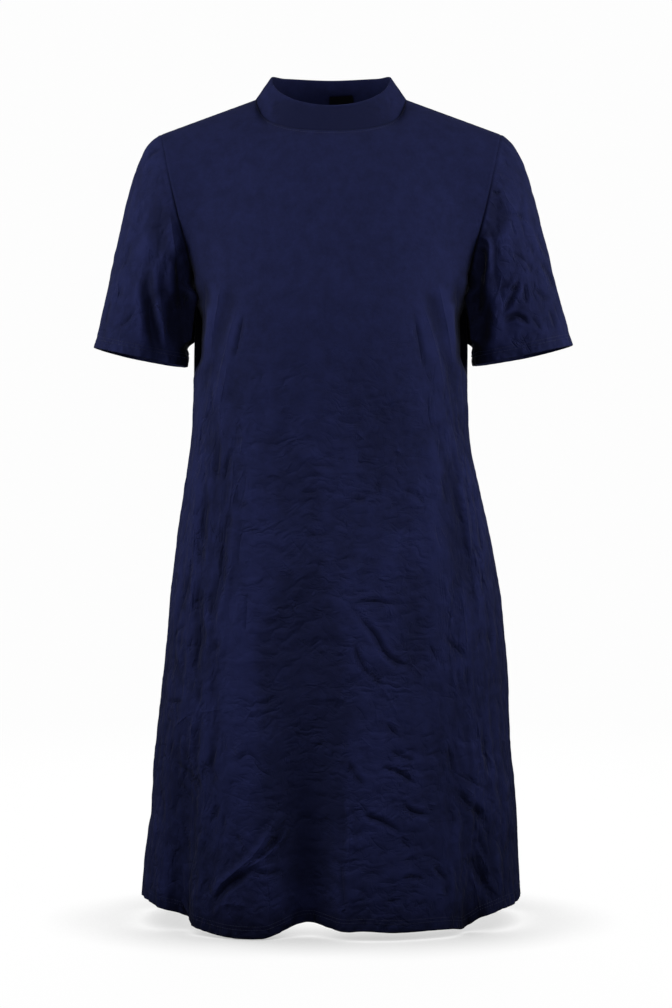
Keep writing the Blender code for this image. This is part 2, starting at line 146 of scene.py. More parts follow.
# degrees, x, y, z of the neck seam and of the collar's top edge; 0 degrees is the centre front
NECK_SEAM = (
    (0.0, 0.0000, -0.0680, -0.0454),
    (36.0, 0.0523, -0.0560, -0.0396),
    (62.0, 0.0786, -0.0345, -0.0262),
    (90.0, 0.0895, -0.0060, 0.0005),
    (130.0, 0.0690, 0.0400, 0.0040),
    (180.0, 0.0000, 0.0640, -0.0015),
)
COLLAR_TOP = (
    (0.0, 0.0000, -0.0600, -0.0155),
    (36.0, 0.0426, -0.0490, -0.0075),
    (62.0, 0.0640, -0.0280, 0.0070),
    (90.0, 0.0725, -0.0020, 0.0260),
    (130.0, 0.0560, 0.0345, 0.0312),
    (180.0, 0.0000, 0.0540, 0.0320),
)

# side, place across, height where it starts, depth at the hem, half width, hem lift
FLUTES = (
    (FRONT, -0.075, -0.700, -0.031, 0.150, 0.0145),
    (FRONT, -0.590, -0.740, -0.024, 0.120, 0.000),
    (FRONT, 0.530, -0.800, -0.018, 0.120, 0.000),
    (FRONT, -0.310, -0.660, 0.009, 0.190, 0.000),
    (FRONT, 0.215, -0.640, 0.008, 0.240, 0.000),
    (BACK, -0.620, -0.700, -0.022, 0.130, 0.006),
    (BACK, -0.160, -0.620, -0.030, 0.150, 0.010),
    (BACK, 0.270, -0.740, -0.020, 0.120, 0.005),
    (BACK, 0.660, -0.690, -0.024, 0.130, 0.006),
    (BACK, -0.400, -0.620, 0.009, 0.190, 0.000),
    (BACK, 0.060, -0.640, 0.008, 0.160, 0.000),
    (BACK, 0.470, -0.680, 0.008, 0.170, 0.000),
)

# side, x and z of the sleeve hem's outer end, x and z of its inner end, sideways lean
SLEEVE_HEMS = (
    (-1, 0.2840, -0.2960, 0.1720, -0.3190, 0.230),
    (1, 0.2900, -0.2930, 0.1705, -0.3175, 0.290),
)
SLEEVE_HEM_DEPTH = 0.050   # half the sleeve hem's depth, front to back
SLEEVE_HEM_SAG = 0.0018    # how much lower the hem hangs at the front and back of the sleeve

# where the inner flanks of a sleeve lie against the side of the body
LAID_GAP = 0.0008          # space left between the two
LAID_TURN = 28.0           # degrees from the sleeve's innermost line to the middle of a flank
LAID_HALF_WIDTH = 30.0
LAID_TOP = -0.222          # heights between which they lie there, and how softly that begins
LAID_BOTTOM = -0.306
LAID_FADE = 0.018

# how far a sleeve runs on from the armhole, outwards, to its front or back and down, and then how
# far it runs straight above its hem
CAP_RUN = (0.036, 0.0, 0.0125, 0.150)
FLANK_RUN = (0.018, 0.012, 0.0260, 0.075)
UNDERARM_RUN = (0.003, 0.0, 0.0220, 0.030)

# side of the body, degrees round the sleeve (90 is its front), start along it, depth, half width
SLEEVE_FOLDS = (
    (-1, 118.0, 0.35, 0.0060, 32.0),
    (-1, 262.0, 0.30, 0.0045, 34.0),
    (1, 98.0, 0.30, 0.0045, 34.0),
    (1, 248.0, 0.35, 0.0050, 32.0),
)

# ---------------------------------------------------------------- creases placed one by one
# Millimetres as seen from the front.  Width, depth (below 0 is a ridge), then the places it runs
# through, as x and z in turn.
FRONT_CREASES = (
    # broad swells of the skirt: a shallow trough left of the middle, a lobe beside it, and the
    # hollow and the swell that run down each side
    (26.0, 9.0, -26, -520, -32, -640, -33, -760, -31, -880, -30, -960),
    (9.0, -2.6, -108, -560, -106, -690, -103, -810),
    (9.0, 2.4, 136, -396, 142, -479, 151, -551, 158, -620),
    (8.0, -3.0, 150, -405, 165, -479, 173, -527, 184, -600),
    (12.0, 2.6, 92, -520, 98, -620, 96, -700),
    (9.0, -2.4, -150, -405, -158, -470, -168, -560),
    # the body's sides turn in behind the sleeves
    (8.5, 13.0, -165, -236, -165, -262, -165, -300, -167, -336),
    (8.5, 13.0, 164, -236, 163, -262, 163, -300, 166, -336),
    (5.0, -3.9, -160, -212, -164, -232, -165, -250),
    (5.0, -3.9, 160, -212, 163, -232, 164, -250),
    # soft folds that fall from the bust to the sides of the waist
    (8.0, 3.2, -112, -214, -122, -255, -136, -320, -145, -380),
    (5.0, -2.4, -128, -226, -137, -288),
    (6.0, -2.7, -108, -250, -124, -309, -139, -385),
    (8.0, 3.6, 111, -220, 123, -272, 134, -303, 146, -372),
    (6.0, -3.0, 102, -240, 118, -286, 136, -365),
    (5.0, -2.7, 124, -220, 132, -264, 146, -335),
    (2.2, 1.8, -100, -262, -112, -318),
    (2.2, 1.8, 96, -262, 108, -330),
    (5.0, 3.6, -149, -222, -151, -262, -156, -300),
    (5.0, 3.6, 149, -222, 151, -262, 157, -300),
    # long folds down the viewer's left
    (2.2, 2.4, -129, -405, -136, -462),
    (2.2, 2.2, -116, -420, -126, -462),
    (3.0, 3.3, -143, -465, -147, -500, -151, -542, -155, -572),
    (3.0, -2.7, -156, -490, -160, -545, -161, -612),
    (3.0, 3.3, -158, -505, -163, -557, -172, -592, -184, -634),
    (3.4, 3.6, -150, -565, -156, -600, -152, -640, -157, -668, -152, -700),
    (3.4, 3.0, -113, -470, -121, -505, -128, -562, -136, -606, -134, -650),
    (1.7, 1.4, -188, -642, -169, -624),
    (2.6, -2.1, -158, -722, -166, -786),
    (2.6, 2.0, -149, -720, -158, -790),
    (1.9, 1.4, -95, -580, -98, -640),
    (2.0, 1.2, -102, -500, -108, -560),
    # long folds down the viewer's right
    (2.2, 2.2, 155, -436, 161, -480, 169, -538),
    (2.2, 2.2, 164, -450, 172, -502, 180, -560),
    (2.4, -2.2, 151, -450, 160, -512, 166, -560),
    (2.0, 1.8, 185, -628, 191, -680),
    (2.0, 1.8, 144, -672, 151, -705),
    (2.2, 2.1, 134, -756, 143, -806),
    (2.2, 1.8, 176, -740, 184, -806),
    (2.2, -1.8, 168, -720, 177, -800),
    # short level creases over the belly
    (1.5, 1.5, 24, -477, 34, -480, 43, -474),
    (1.5, 1.5, -37, -470, -24, -471, -12, -469),
    (1.5, 1.0, -24, -440, 10, -441),
    (1.5, 1.0, -97, -514, -76, -516),
    (1.5, 1.0, -30, -521, 2, -519),
    (1.7, 1.4, 80, -466, 96, -473, 112, -488),
    (1.5, 1.0, 60, -492, 78, -485),
    (1.5, 1.2, -52, -594, -36, -596),
    (1.5, 0.9, 60, -575, 80, -570, 102, -572),
    (1.5, 0.9, -76, -560, -64, -574),
    (1.5, 0.9, 52, -458, 58, -476),
    (1.5, 0.9, 94, -490, 110, -490),
    (1.5, 0.8, 10, -548, 30, -545),
    (1.5, 0.9, 142, -574, 160, -586),
    # slanting creases over the thigh
    (2.0, 2.2, 22, -599, 48, -596, 80, -602),
    (2.7, 3.9, 27, -604, 36, -618, 52, -636, 60, -653, 73, -665, 100, -670),
    (2.2, 3.0, 26, -640, 31, -658, 40, -675, 60, -694),
    (1.8, 2.2, 114, -646, 123, -668),
    (1.8, 1.8, 129, -634, 142, -648, 162, -668),
    (1.8, 1.8, 48, -683, 60, -694),
    (1.7, 1.2, -8, -628, 4, -646, 14, -652),
    (1.7, 1.2, -26, -606, -12, -622),
    (2.0, 2.4, 63, -734, 70, -744, 80, -751),
    (2.1, 2.5, 67, -765, 80, -773, 98, -779),
    (2.2, 2.5, 20, -774, 27, -792, 42, -810),
    (2.2, 2.7, 55, -784, 76, -791, 99, -806),
    (2.4, 3.3, 79, -821, 90, -834, 116, -841),
    (2.5, 3.6, 30, -836, 58, -846, 84, -861),
    (1.8, 1.8, 79, -866, 92, -879),
    (1.8, 2.2, 78, -911, 94, -910, 110, -913),
    (2.0, 2.1, 115, -895, 134, -918),
    (1.8, 1.2, 92, -944, 112, -938),
    (1.8, 1.2, 60, -936, 84, -934),
    (2.0, -2.1, 14, -812, 22, -840, 21, -872, 23, -905),
    (2.1, 1.8, 10, -880, 15, -936, 17, -968),
    (3.2, 4.2, 141, -810, 158, -830, 170, -842, 186, -862),
    (3.0, 4.2, 158, -888, 176, -922, 192, -950),
    (2.2, -2.1, 168, -880, 188, -918),
    # the large slanting folds low on the viewer's left
    (3.2, -4.5, -56, -836, -70, -858, -82, -878, -106, -902, -128, -922, -140, -946),
    (2.2, -2.7, -42, -846, -56, -868, -76, -888, -104, -904),
    (2.5, 3.9, -50, -852, -62, -868, -76, -880),
    (3.0, 4.2, -88, -903, -116, -918, -130, -934, -140, -955),
    (2.2, 2.4, -96, -900, -76, -906, -50, -901),
    (2.0, -1.5, -132, -944, -108, -940, -92, -944),
    (2.0, 1.8, -126, -828, -140, -854),
    (1.8, 1.7, -131, -764, -139, -790),
    (1.7, 1.5, -108, -782, -95, -771, -78, -784),
    (1.7, 1.2, -96, -758, -95, -772),
    (1.8, 1.5, -194, -718, -172, -714),
    (1.8, 1.5, -184, -784, -160, -800),
    (1.8, 1.4, -176, -820, -184, -850),
)

# The same for the back, as seen from the front through the cloth.
BACK_CREASES = (
    (9.0, 3.0, -104, -180, -112, -250, -128, -330, -142, -400),
    (9.0, 3.0, 104, -180, 114, -256, 128, -326, 143, -396),
    (6.0, -2.2, -88, -236, -104, -310, -124, -384),
    (6.0, -2.2, 86, -230, 102, -306, 126, -388),
    # the cloth sinks into the small of the back
    (7.0, 3.1, -84, -372, -20, -392, 50, -386, 96, -370),
    (6.0, -2.2, -70, -410, 10, -424, 84, -404),
    (5.0, 2.5, -60, -436, 0, -446, 66, -434),
    (3.0, 2.8, 152, -470, 158, -530, 168, -590),
    (3.0, -2.2, 144, -500, 152, -570, 156, -640),
    (3.2, 2.8, -150, -462, -158, -540, -166, -604),
    (3.2, 2.8, -136, -560, -142, -630, -150, -700),
    (2.4, 2.8, -34, -610, -52, -640, -84, -662),
    (2.5, 3.1, 30, -650, 58, -676, 92, -690),
    (2.0, 2.0, -16, -700, -36, -722, -64, -734),
    (2.2, 2.5, 84, -750, 108, -768, 130, -790),
    (2.5, 3.1, -24, -812, -58, -838, -88, -848),
    (3.2, -3.9, 64, -836, 92, -872, 118, -900, 146, -926),
    (3.0, 3.6, 78, -868, 106, -902, 138, -936),
    (2.2, 2.2, -112, -846, -132, -880, -150, -906),
    (2.2, 2.0, 10, -880, 14, -940),
    (1.8, 1.7, -46, -900, -20, -906, 0, -902),
    (1.8, 1.4, 40, -560, 66, -556),
    (1.7, 1.3, -66, -520, -40, -524),
    (1.7, 1.3, -8, -560, 14, -556),
    (1.7, 1.3, 60, -500, 84, -508),
    (1.7, 1.3, -96, -590, -80, -600),
)

# Sleeve creases, seen from the front: side of the body first, then as above.
SLEEVE_CREASES = (
    # the inner flanks, which stand clear of the body
    (-1, 9.0, 13.0, -173, -226, -173, -262, -171, -312),
    (1, 9.0, 13.0, 171, -222, 171, -262, 170, -312),
    (-1, 4.0, 5.5, -181, -190, -178, -220, -173, -262),
    (1, 4.0, 5.5, 178, -186, 175, -216, 171, -262),
    # the deep fold down the front of the sleeve
    (-1, 4.4, 7.5, -212, -196, -216, -235, -211, -270, -205, -314),
    (-1, 12.0, 4.0, -196, -220, -192, -300),
    (-1, 9.0, 2.2, -200, -118, -199, -150, -200, -200),
    (-1, 5.0, -3.0, -189, -142, -182, -200),
    (-1, 5.0, -3.3, -202, -226, -197, -300),
    (-1, 1.8, 1.0, -214, -160, -196, -157),
    (-1, 1.9, 1.2, -236, -170, -244, -204),
    (-1, 1.9, 1.2, -228, -250, -240, -268, -256, -276),
    (-1, 1.9, 1.2, -246, -220, -256, -252),
    (-1, 1.9, 1.0, -238, -150, -226, -166),
    (-1, 1.9, 1.2, -262, -240, -270, -272),
    (1, 1.8, 1.8, 188, -117, 201, -117),
    (1, 6.0, 5.6, 196, -120, 194, -155, 181, -172),
    (1, 2.2, -3.3, 170, -168, 184, -174, 187, -186, 184, -202),
    (1, 3.2, 5.2, 174, -180, 178, -194, 176, -216),
    (1, 2.4, 3.9, 223, -216, 213, -240, 203, -260),
    (1, 2.4, 3.6, 202, -270, 218, -262, 235, -272),
    (1, 5.0, 5.4, 184, -250, 178, -300),
    (1, 1.9, 1.8, 250, -192, 260, -212, 268, -230),
    (1, 1.9, 1.7, 259, -252, 267, -278),
    (1, 1.8, 1.2, 203, -146, 219, -142, 234, -151),
    (1, 1.9, 1.8, 227, -222, 231, -250),
    (1, 1.9, 1.8, 240, -229, 258, -244),
    (1, 1.9, 1.5, 212, -186, 228, -196, 240, -212),
    (1, 1.9, 1.5, 236, -262, 250, -280),
    (1, 1.9, 1.4, 205, -236, 218, -226),
    (1, 1.9, 1.4, 246, -160, 252, -184),
)

# Zones of small creases: side, middle and reach across (along the cloth) and in height, how many,
# direction in degrees (0 level, 90 upright) and its spread, length, width, depth; millimetres.
WRINKLE_ZONES = (
    (FRONT, 0, 100, -130, 90, 16, 10, 60, 22, 2.6, 0.16),
    (FRONT, 0, 110, -330, 60, 44, 24, 50, 16, 2.3, 0.34),
    (FRONT, 0, 110, -480, 110, 150, 6, 36, 15, 2.2, 0.55),
    (FRONT, -150, 42, -480, 190, 90, 84, 12, 44, 3.0, 1.00),
    (FRONT, 160, 40, -500, 190, 100, 98, 12, 44, 3.0, 1.00),
    (FRONT, -205, 45, -640, 230, 70, 82, 22, 34, 3.0, 1.00),
    (FRONT, 215, 45, -640, 230, 80, 98, 18, 40, 3.0, 1.05),
    (FRONT, 20, 80, -640, 110, 90, -34, 36, 20, 2.4, 0.75),
    (FRONT, 70, 100, -830, 130, 110, -30, 32, 22, 2.5, 0.80),
    (FRONT, -110, 90, -830, 130, 110, 62, 36, 22, 2.5, 0.80),
    (FRONT, -220, 70, -840, 120, 70, 84, 28, 32, 3.0, 1.00),
    (FRONT, 240, 60, -860, 110, 80, 106, 20, 34, 3.0, 1.10),
    (FRONT, 0, 280, -950, 26, 90, 20, 60, 14, 2.2, 0.65),
    (BACK, 0, 110, -150, 110, 30, 10, 60, 24, 2.6, 0.22),
    (BACK, 0, 110, -400, 110, 110, 6, 36, 18, 2.3, 0.65),
    (BACK, 155, 42, -480, 190, 90, 96, 12, 44, 3.0, 1.00),
    (BACK, -155, 42, -480, 190, 90, 82, 12, 44, 3.0, 1.00),
    (BACK, 0, 110, -620, 120, 120, 34, 40, 20, 2.4, 0.75),
    (BACK, 210, 60, -680, 250, 120, 98, 22, 36, 3.0, 1.00),
    (BACK, -210, 60, -680, 250, 120, 82, 22, 36, 3.0, 1.00),
    (BACK, 0, 130, -840, 130, 150, -40, 40, 22, 2.5, 0.80),
    (BACK, 0, 280, -950, 26, 90, 20, 60, 14, 2.2, 0.65),
)
# The same for sleeves, with the place round the sleeve from its top in place of across.
SLEEVE_ZONES = (
    (-1, 0, 120, -150, 70, 36, 80, 40, 20, 2.4, 0.50),
    (-1, 60, 190, -240, 60, 80, 72, 40, 18, 2.4, 0.70),
    (1, 0, 120, -150, 70, 50, 100, 46, 20, 2.4, 0.60),
    (1, 60, 190, -240, 60, 120, 110, 46, 20, 2.5, 0.90),
)

# Creases of the collar band: width and depth in millimetres, then degrees round it and rise in turn.
COLLAR_CREASES = (
    (2.4, 0.9, 30, 0.86, 40, 0.70, 50, 0.60),
    (2.6, 0.7, 3, 0.86, 22, 0.88),
    (2.4, 0.6, -50, 0.85, -62, 0.40),
    (2.4, 0.5, -20, 0.62, -34, 0.84),
    (2.4, 0.5, 56, 0.40, 66, 0.72),
    (2.6, 0.6, 100, 0.30, 112, 0.74),
    (2.6, 0.6, 150, 0.62, 172, 0.72),
    (2.6, 0.6, -110, 0.70, -124, 0.30),
    (2.6, 0.5, -150, 0.40, -168, 0.56),
)

# Irregular crumples of the panels: usual size across and up, depth (millimetres), change of seed,
# whether they lean like the folds of the skirt, whether they meet in sharp troughs, and where.
CRUMPLES = (
    (22, 110, 1.70, 0, True, True, "sides"),
    (11, 60, 0.55, 3, True, True, "sides"),
    (20, 40, 0.80, 5, False, True, "sides"),
    (40, 24, 0.45, 9, False, True, "middle"),
    (28, 34, 0.60, 13, False, True, "skirt"),
    (80, 160, 2.00, 17, False, False, "skirt"),
)
FOLD_LEAN = 0.16           # how far the fine folds run outwards for each metre down

# ---------------------------------------------------------------- how fine the cloth is modelled
PANEL_COLUMNS = 252        # a multiple of four, so that the neckline's corners are on a column
SKIRT_ROWS = 262
YOKE_ROWS = 88
SLEEVE_COLUMNS = 240
SLEEVE_ROWS = 110
COLLAR_COLUMNS = 360
COLLAR_ROWS = 22
INNER_STEP = 9             # columns and rows of the outer skin to one of the inner skin
RIM_STEPS = 4              # steps round a turned edge
SEAM_STEPS = np.array((0.5, 1.4)) * MM     # extra lines next to a seam, the neckline and a hem
NECK_STEPS = np.array((0.6, 1.5, 2.6, 3.4, 4.0, 4.6, 5.6, 7.2)) * MM
HEM_STEPS = np.array((0.8, 1.8)) * MM
HALF_PANEL = 0.32          # rough lengths that make shares of those distances
SKIRT_LENGTH = 0.72
YOKE_LENGTH = 0.25
SLEEVE_LENGTH = 0.25       # at the hem's end, and at the armhole's
SLEEVE_TOP_LENGTH = 0.20

LIP_SHARE = 0.30           # height of the lips beside a crease as a share of its depth
LIP_PLACE = 1.8            # their place, in crease widths
TAPER = 0.30               # share of a crease's length over which each end dies out
RIDGE_ODDS = 0.35          # share of small creases that stand up
SOFT_WIDTH = 1.45          # width of a crease's modelled trough, in crease widths
SOFT_SHARE = 0.70          # depth of that trough as a share of the crease's
SMALL_SHARE = 0.22         # the same for the small creases of a zone
LEAST_SOFT = 3.3 * MM      # the narrowest trough that the mesh holds
DEEPEST_FOLD = 4.4 * MM    # creases that cross don't add up to more than this
FREE_DEPTH = 5.0 * MM      # a crease placed deeper than this keeps its own depth
LINE_SHARE = 0.55          # depth of the sharp line in a crease as a share of the crease's
LINE_MOST = 1.1 * MM
LINE_REACH = 6.0 * MM      # how far on each side of it the sharp line is looked up
LINE_WIDTH = 1.2           # half width of the sharp line, in millimetres
BLUNT = (5.0, 8.0)         # widths between which a crease loses its sharp line
SEAM_QUIET = 9.0 * MM      # creases die out over this width before a seam
SEED = 2107

SEAM_SINK = 0.15 * MM      # how far cloth sinks into a seam
SEAM_REACH = 1.0 * MM
SEAM_LIP = 0.25 * MM       # height, place and width of the lip beside it
SEAM_LIP_PLACE = 3.2 * MM
SEAM_LIP_WIDTH = 2.0 * MM
SEAM_PUCKER = 0.13 * MM    # height of the puckers beside it
SEAM_SWELL = 61            # millimetres from one group of puckers to the next
SEAM_PUCKERS = (8.5, 13.0)       # the same from one pucker to the next
NECK_GROOVE = 0.35 * MM    # how far the topstitching of the neck sinks, and how wide
NECK_GROOVE_WIDTH = 0.7 * MM
HEM_GROOVE = 0.45 * MM     # the same for each row of a hem
HEM_GROOVE_WIDTH = 1.0 * MM
EDGE_WAVE = 0.7 * MM       # depth of the waves of a hem's edge, and how far up they reach
EDGE_REACH = 9.0 * MM
EDGE_WAVES = (11, 17, 29, 47)    # their lengths in millimetres
HEM_PUCKER = 0.16 * MM     # height of the slanting puckers about the rows of a hem
HEM_PUCKERS = (7, 9.5)           # their lengths in millimetres

CRINKLE_HEIGHTS = (-0.27, -0.43)       # heights over which the crinkling of a panel sets in
UPPER_CRINKLE = 0.15                   # share of it that is there higher up, between these heights
UPPER_HEIGHTS = (-0.05, -0.15)
SIDE_REACH = (0.09, 0.16)              # distances from the centre over which it turns upright
SIDE_HEIGHTS = (-0.22, -0.30)
FLANK_CALM = 0.35                      # share of it that is left where a panel turns sideways
SLEEVE_CRINKLE = 0.60                  # how crinkled and how upright a sleeve is all over
SLEEVE_UPRIGHT = 0.35
SECOND_GRAIN = 2.1                     # how much finer a crumple's second layer is, and its share
SECOND_SHARE = 0.45


# ---------------------------------------------------------------- settings a user would change
def length_setting(title, text, default, least, most):
    """A setting that is a length."""
    return bpy.props.FloatProperty(name=title, description=text, default=default, min=least, max=most,
                                   subtype="DISTANCE", unit="LENGTH")


def power_setting(title, text, default):
    """A setting that is the power of a light."""
    return bpy.props.FloatProperty(name=title, description=text, default=default, min=0.0, max=1000.0,
                                   subtype="POWER", unit="POWER")


class DressSettings(bpy.types.PropertyGroup):
    """Thickness of the cloth, its creases and its stitching."""

    cloth: length_setting("Cloth", "Thickness of the wall of cloth", 2.0 * MM, 0.5 * MM, 4.0 * MM)
    crease_depth: bpy.props.FloatProperty(
        name="Crease depth", description="How deep the creases are, as a share of the worn garment's",
        default=1.0, min=0.0, max=2.0, subtype="FACTOR")
    stitch_pitch: length_setting("Stitch pitch", "Distance from one stitch to the next",
                                 3.2 * MM, 2.0 * MM, 6.0 * MM)
    hem_stitch: length_setting("Hem stitch", "Height of the lower row of stitching above a hem",
                               9.0 * MM, 4.0 * MM, 30.0 * MM)
    needle_gap: length_setting("Needle gap", "Distance between the two rows of twin-needle stitching",
                               4.0 * MM, 2.0 * MM, 8.0 * MM)
    neck_stitch: length_setting("Neck stitch", "Distance of the topstitching from the collar's seam",
                                4.0 * MM, 2.0 * MM, 8.0 * MM)


class StudioSettings(bpy.types.PropertyGroup):
    """Floor and lights."""

    floor_gap: length_setting("Floor gap", "Space between the lowest hem and the floor", 1.0 * MM, 0.0, 0.5)
    front_power: power_setting("Front light", "Power of the soft light in front of the chest", 4.7)
    top_power: power_setting("Top light", "Power of the soft light high above", 22.0)
    side_power: power_setting("Side lights", "Power of each soft light beside the dress", 7.2)
    back_power: power_setting("Back light", "Power of the light behind, which the photo lacks", 20.0)
    air: bpy.props.FloatProperty(
        name="Room light", description="Strength of the even light of the room",
        default=0.01, min=0.0, max=5.0)


# ---------------------------------------------------------------- curves through the tables
def slopes(knots, values):
    """Give a smooth tangent at each knot of an open table."""
    return np.gradient(values, knots, axis=0)


def hermite(knots, values, tangents, at):
    """Read a smooth curve through the knots at the places asked for."""
    at = np.atleast_1d(np.asarray(at, float))
    cell = np.clip(np.searchsorted(knots, at, side="right") - 1, 0, len(knots) - 2)
    span = knots[cell + 1] - knots[cell]
    part = ((at - knots[cell]) / span)[:, None]
    span = span[:, None]
    start = (1 + 2 * part) * (1 - part) ** 2 * values[cell]
    leave = part * (1 - part) ** 2 * span * tangents[cell]
    end = part ** 2 * (3 - 2 * part) * values[cell + 1]
    arrive = part ** 2 * (part - 1) * span * tangents[cell + 1]
    return start + leave + end + arrive


def body_sizes(height):
    """Half width, front depth, back depth and sway of the dress at each height."""
    table = np.array(BODY_SECTIONS)[::-1]
    knots, values = table[:, 0], table[:, 1:]
    return hermite(knots, values, slopes(knots, values), height)


def closed_curve(knots, values, period, at):
    """Read a smooth closed curve whose knots repeat after one period."""
    around_knots = np.concatenate([knots - period, knots, knots + period])
    around_values = np.concatenate([values, values, values])
    tangents = slopes(around_knots, around_values)
    return hermite(around_knots, around_values, tangents, np.mod(at, period))


def neck_ring(table, degrees):
    """Points of a ring of the neck, whose table gives its right half."""
    rows = np.array(table)
    mirrored = rows[1:-1][::-1] * (-1, -1, 1, 1) + (360.0, 0, 0, 0)
    ring = np.concatenate([rows, mirrored])
    return closed_curve(ring[:, 0], ring[:, 1:], 360.0, np.asarray(degrees, float))


def armhole_ring(turn):
    """Points of the right armhole: 0 the underarm, 0.5 its front, 1 the shoulder, 1.5 its back."""
    rows = np.array(ARMHOLE)
    front = rows[:, (1, 2, 4)]
    back = rows[1:-1][::-1][:, (1, 3, 4)]
    knots = np.concatenate([rows[:, 0], 2.0 - rows[1:-1, 0][::-1]])
    return closed_curve(knots, np.concatenate([front, back]), 2.0, np.asarray(turn, float))


def bump(offset):
    """A soft bump that is 1 at 0 and 0 from -1 and 1 outwards."""
    return np.where(np.abs(offset) < 1, np.cos(np.clip(offset, -1, 1) * math.pi / 2) ** 2, 0.0)


def ease(share):
    """Rise softly from 0 to 1 as the share does."""
    share = np.clip(share, 0, 1)
    return share * share * (3 - 2 * share)


def ease_between(value, ends):
    """Rise softly from 0 to 1 as a value goes from the first end to the second."""
    return ease((value - ends[0]) / (ends[1] - ends[0]))


def ripple(run, length, draw):
    """A wave along a run, with its length in millimetres and a random start."""
    return np.sin(run / (length * MM) * 2 * math.pi + draw.uniform(0, 6))


# ---------------------------------------------------------------- smooth surfaces of the pieces
def hem_height(side, across):
    """Height of the hem, lifted in each trough."""
    table = np.array(HEM_HEIGHTS)
    column = 1 if side == FRONT else 2
    knots, values = table[:, 0], table[:, column:column + 1]
    height = hermite(knots, values, slopes(knots, values), across)[:, 0]
    for flute_side, place, _, _, half_width, lift in FLUTES:
        if flute_side == side:
            height = height + lift * bump((across - place) / half_width)
    return height


def flute_depth(side, across, level_z):
    """How far the flutes push a row of the skirt in or out."""
    depth = np.zeros_like(across)
    for flute_side, place, start, hem_depth, half_width, _ in FLUTES:
        if flute_side == side:
            grown = np.clip((start - level_z) / (start - HEM_Z), 0, 1)
            depth += hem_depth * grown ** 1.3 * bump((across - place) / half_width)
    return depth


def skirt_row(side, across, level):
    """A row of the body below the armholes; level 0 is the hem and 1 the underarm."""
    level_z = HEM_Z + (CHEST_Z - HEM_Z) * level
    height = level_z + (hem_height(side, across) - HEM_Z) * (1 - level) ** 2
    height = height + (UNDERARM_Z - CHEST_Z) * np.abs(across) ** 6 * level ** 4
    sizes = body_sizes(height)
    depth = sizes[:, 1] if side == FRONT else sizes[:, 2]
    angle = across * math.pi / 2
    push = flute_depth(side, across, level_z)
    x = sizes[:, 3] + (sizes[:, 0] + push * np.abs(np.sin(angle))) * np.sin(angle)
    y = side * (depth * np.abs(np.cos(angle)) ** FULLNESS + push * np.cos(angle))
    return np.stack([x, y, height], axis=1)


def top_row(side, across):
    """The upper edge of a panel: shoulder seam, neckline and shoulder seam."""
    turn = across / NECK_SHARE * 90.0
    neck = neck_ring(NECK_SEAM, turn if side == FRONT else 180.0 - turn)
    along = np.clip((np.abs(across) - NECK_SHARE) / (1 - NECK_SHARE), 0, 1)[:, None]
    seam = np.array(SHOULDER_NECK) + (np.array(SHOULDER_TIP) - np.array(SHOULDER_NECK)) * along
    seam[:, 0] *= np.sign(across)
    return np.where((np.abs(across) <= NECK_SHARE)[:, None], neck, seam)


def softened_top(side, across, rise):
    """The upper edge as a lower row sees it, with the corner at the neck smoothed away."""
    spread = CORNER_SPREAD * (1 - rise) ** 0.7
    total = np.zeros((len(across), 3))
    weights = 0.0
    for offset in np.linspace(-2.0, 2.0, 9):
        weight = math.exp(-offset ** 2 / 2)
        total += weight * top_row(side, np.clip(across + offset * spread, -1, 1))
        weights += weight
    return total / weights


def yoke_row(side, across, rise):
    """A row between the underarm and the shoulder, bent to the armholes at its ends."""
    low = skirt_row(side, across, 1.0)
    high = softened_top(side, across, rise)
    round_share = 1 - math.cos(rise * math.pi / 2)
    straight_centre, straight_shoulder = YOKE_STRAIGHTNESS[side]
    straight = straight_centre + (straight_shoulder - straight_centre) * bump(1 - np.abs(across))
    row = low + (high - low) * rise
    rounded_y = low[:, 1] + (high[:, 1] - low[:, 1]) * round_share
    rounded_z = low[:, 2] + (high[:, 2] - low[:, 2]) * math.sin(rise * math.pi / 2)
    row[:, 1] = rounded_y + (row[:, 1] - rounded_y) * straight
    row[:, 2] = rounded_z + (row[:, 2] - rounded_z) * straight
    edge = armhole_ring(rise if side == FRONT else 2.0 - rise)[0]
    share = np.abs(across) ** ARMHOLE_REACH
    for end in (0, -1):
        sign = -1 if end == 0 else 1
        miss = edge * (sign, 1, 1) - row[end]
        reach = np.where(across * sign > 0, share, 0.0)
        row = row + reach[:, None] * miss
    return row


def sleeve_fold_shift(side, angle, step, ring):
    """How far the long folds move the points of a sleeve's ring towards its middle."""
    shift = np.zeros_like(ring)
    inward = ring.mean(axis=0) - ring
    inward = inward / np.linalg.norm(inward, axis=1, keepdims=True)
    for fold_side, place, start, depth, half_width in SLEEVE_FOLDS:
        if fold_side == side:
            grown = np.clip((step - start) / (1 - start), 0, 1) ** 0.7
            offset = (np.degrees(angle) - place) / half_width
            shift += inward * (depth * grown * bump(offset))[:, None]
    return shift


def laid_on_body(side, angle, ring):
    """Move the inner flanks of a sleeve's ring against the side of the body, where they lie on it."""
    from_inner = np.abs(np.degrees(angle) - 180.0)
    share = bump((from_inner - LAID_TURN) / LAID_HALF_WIDTH)
    share = share * ease((LAID_TOP - ring[:, 2]) / LAID_FADE)
    share = share * ease((ring[:, 2] - LAID_BOTTOM) / LAID_FADE)
    sizes = body_sizes(ring[:, 2])
    depth = np.where(ring[:, 1] < 0, sizes[:, 1], sizes[:, 2])
    cosine = np.clip(np.abs(ring[:, 1]) / depth, 0, 1) ** (1 / FULLNESS)
    body_x = side * sizes[:, 3] + sizes[:, 0] * np.sqrt(1 - cosine ** 2)
    laid = ring.copy()
    laid[:, 0] += np.minimum(body_x + LAID_GAP - ring[:, 0], 0.0) * share
    return laid


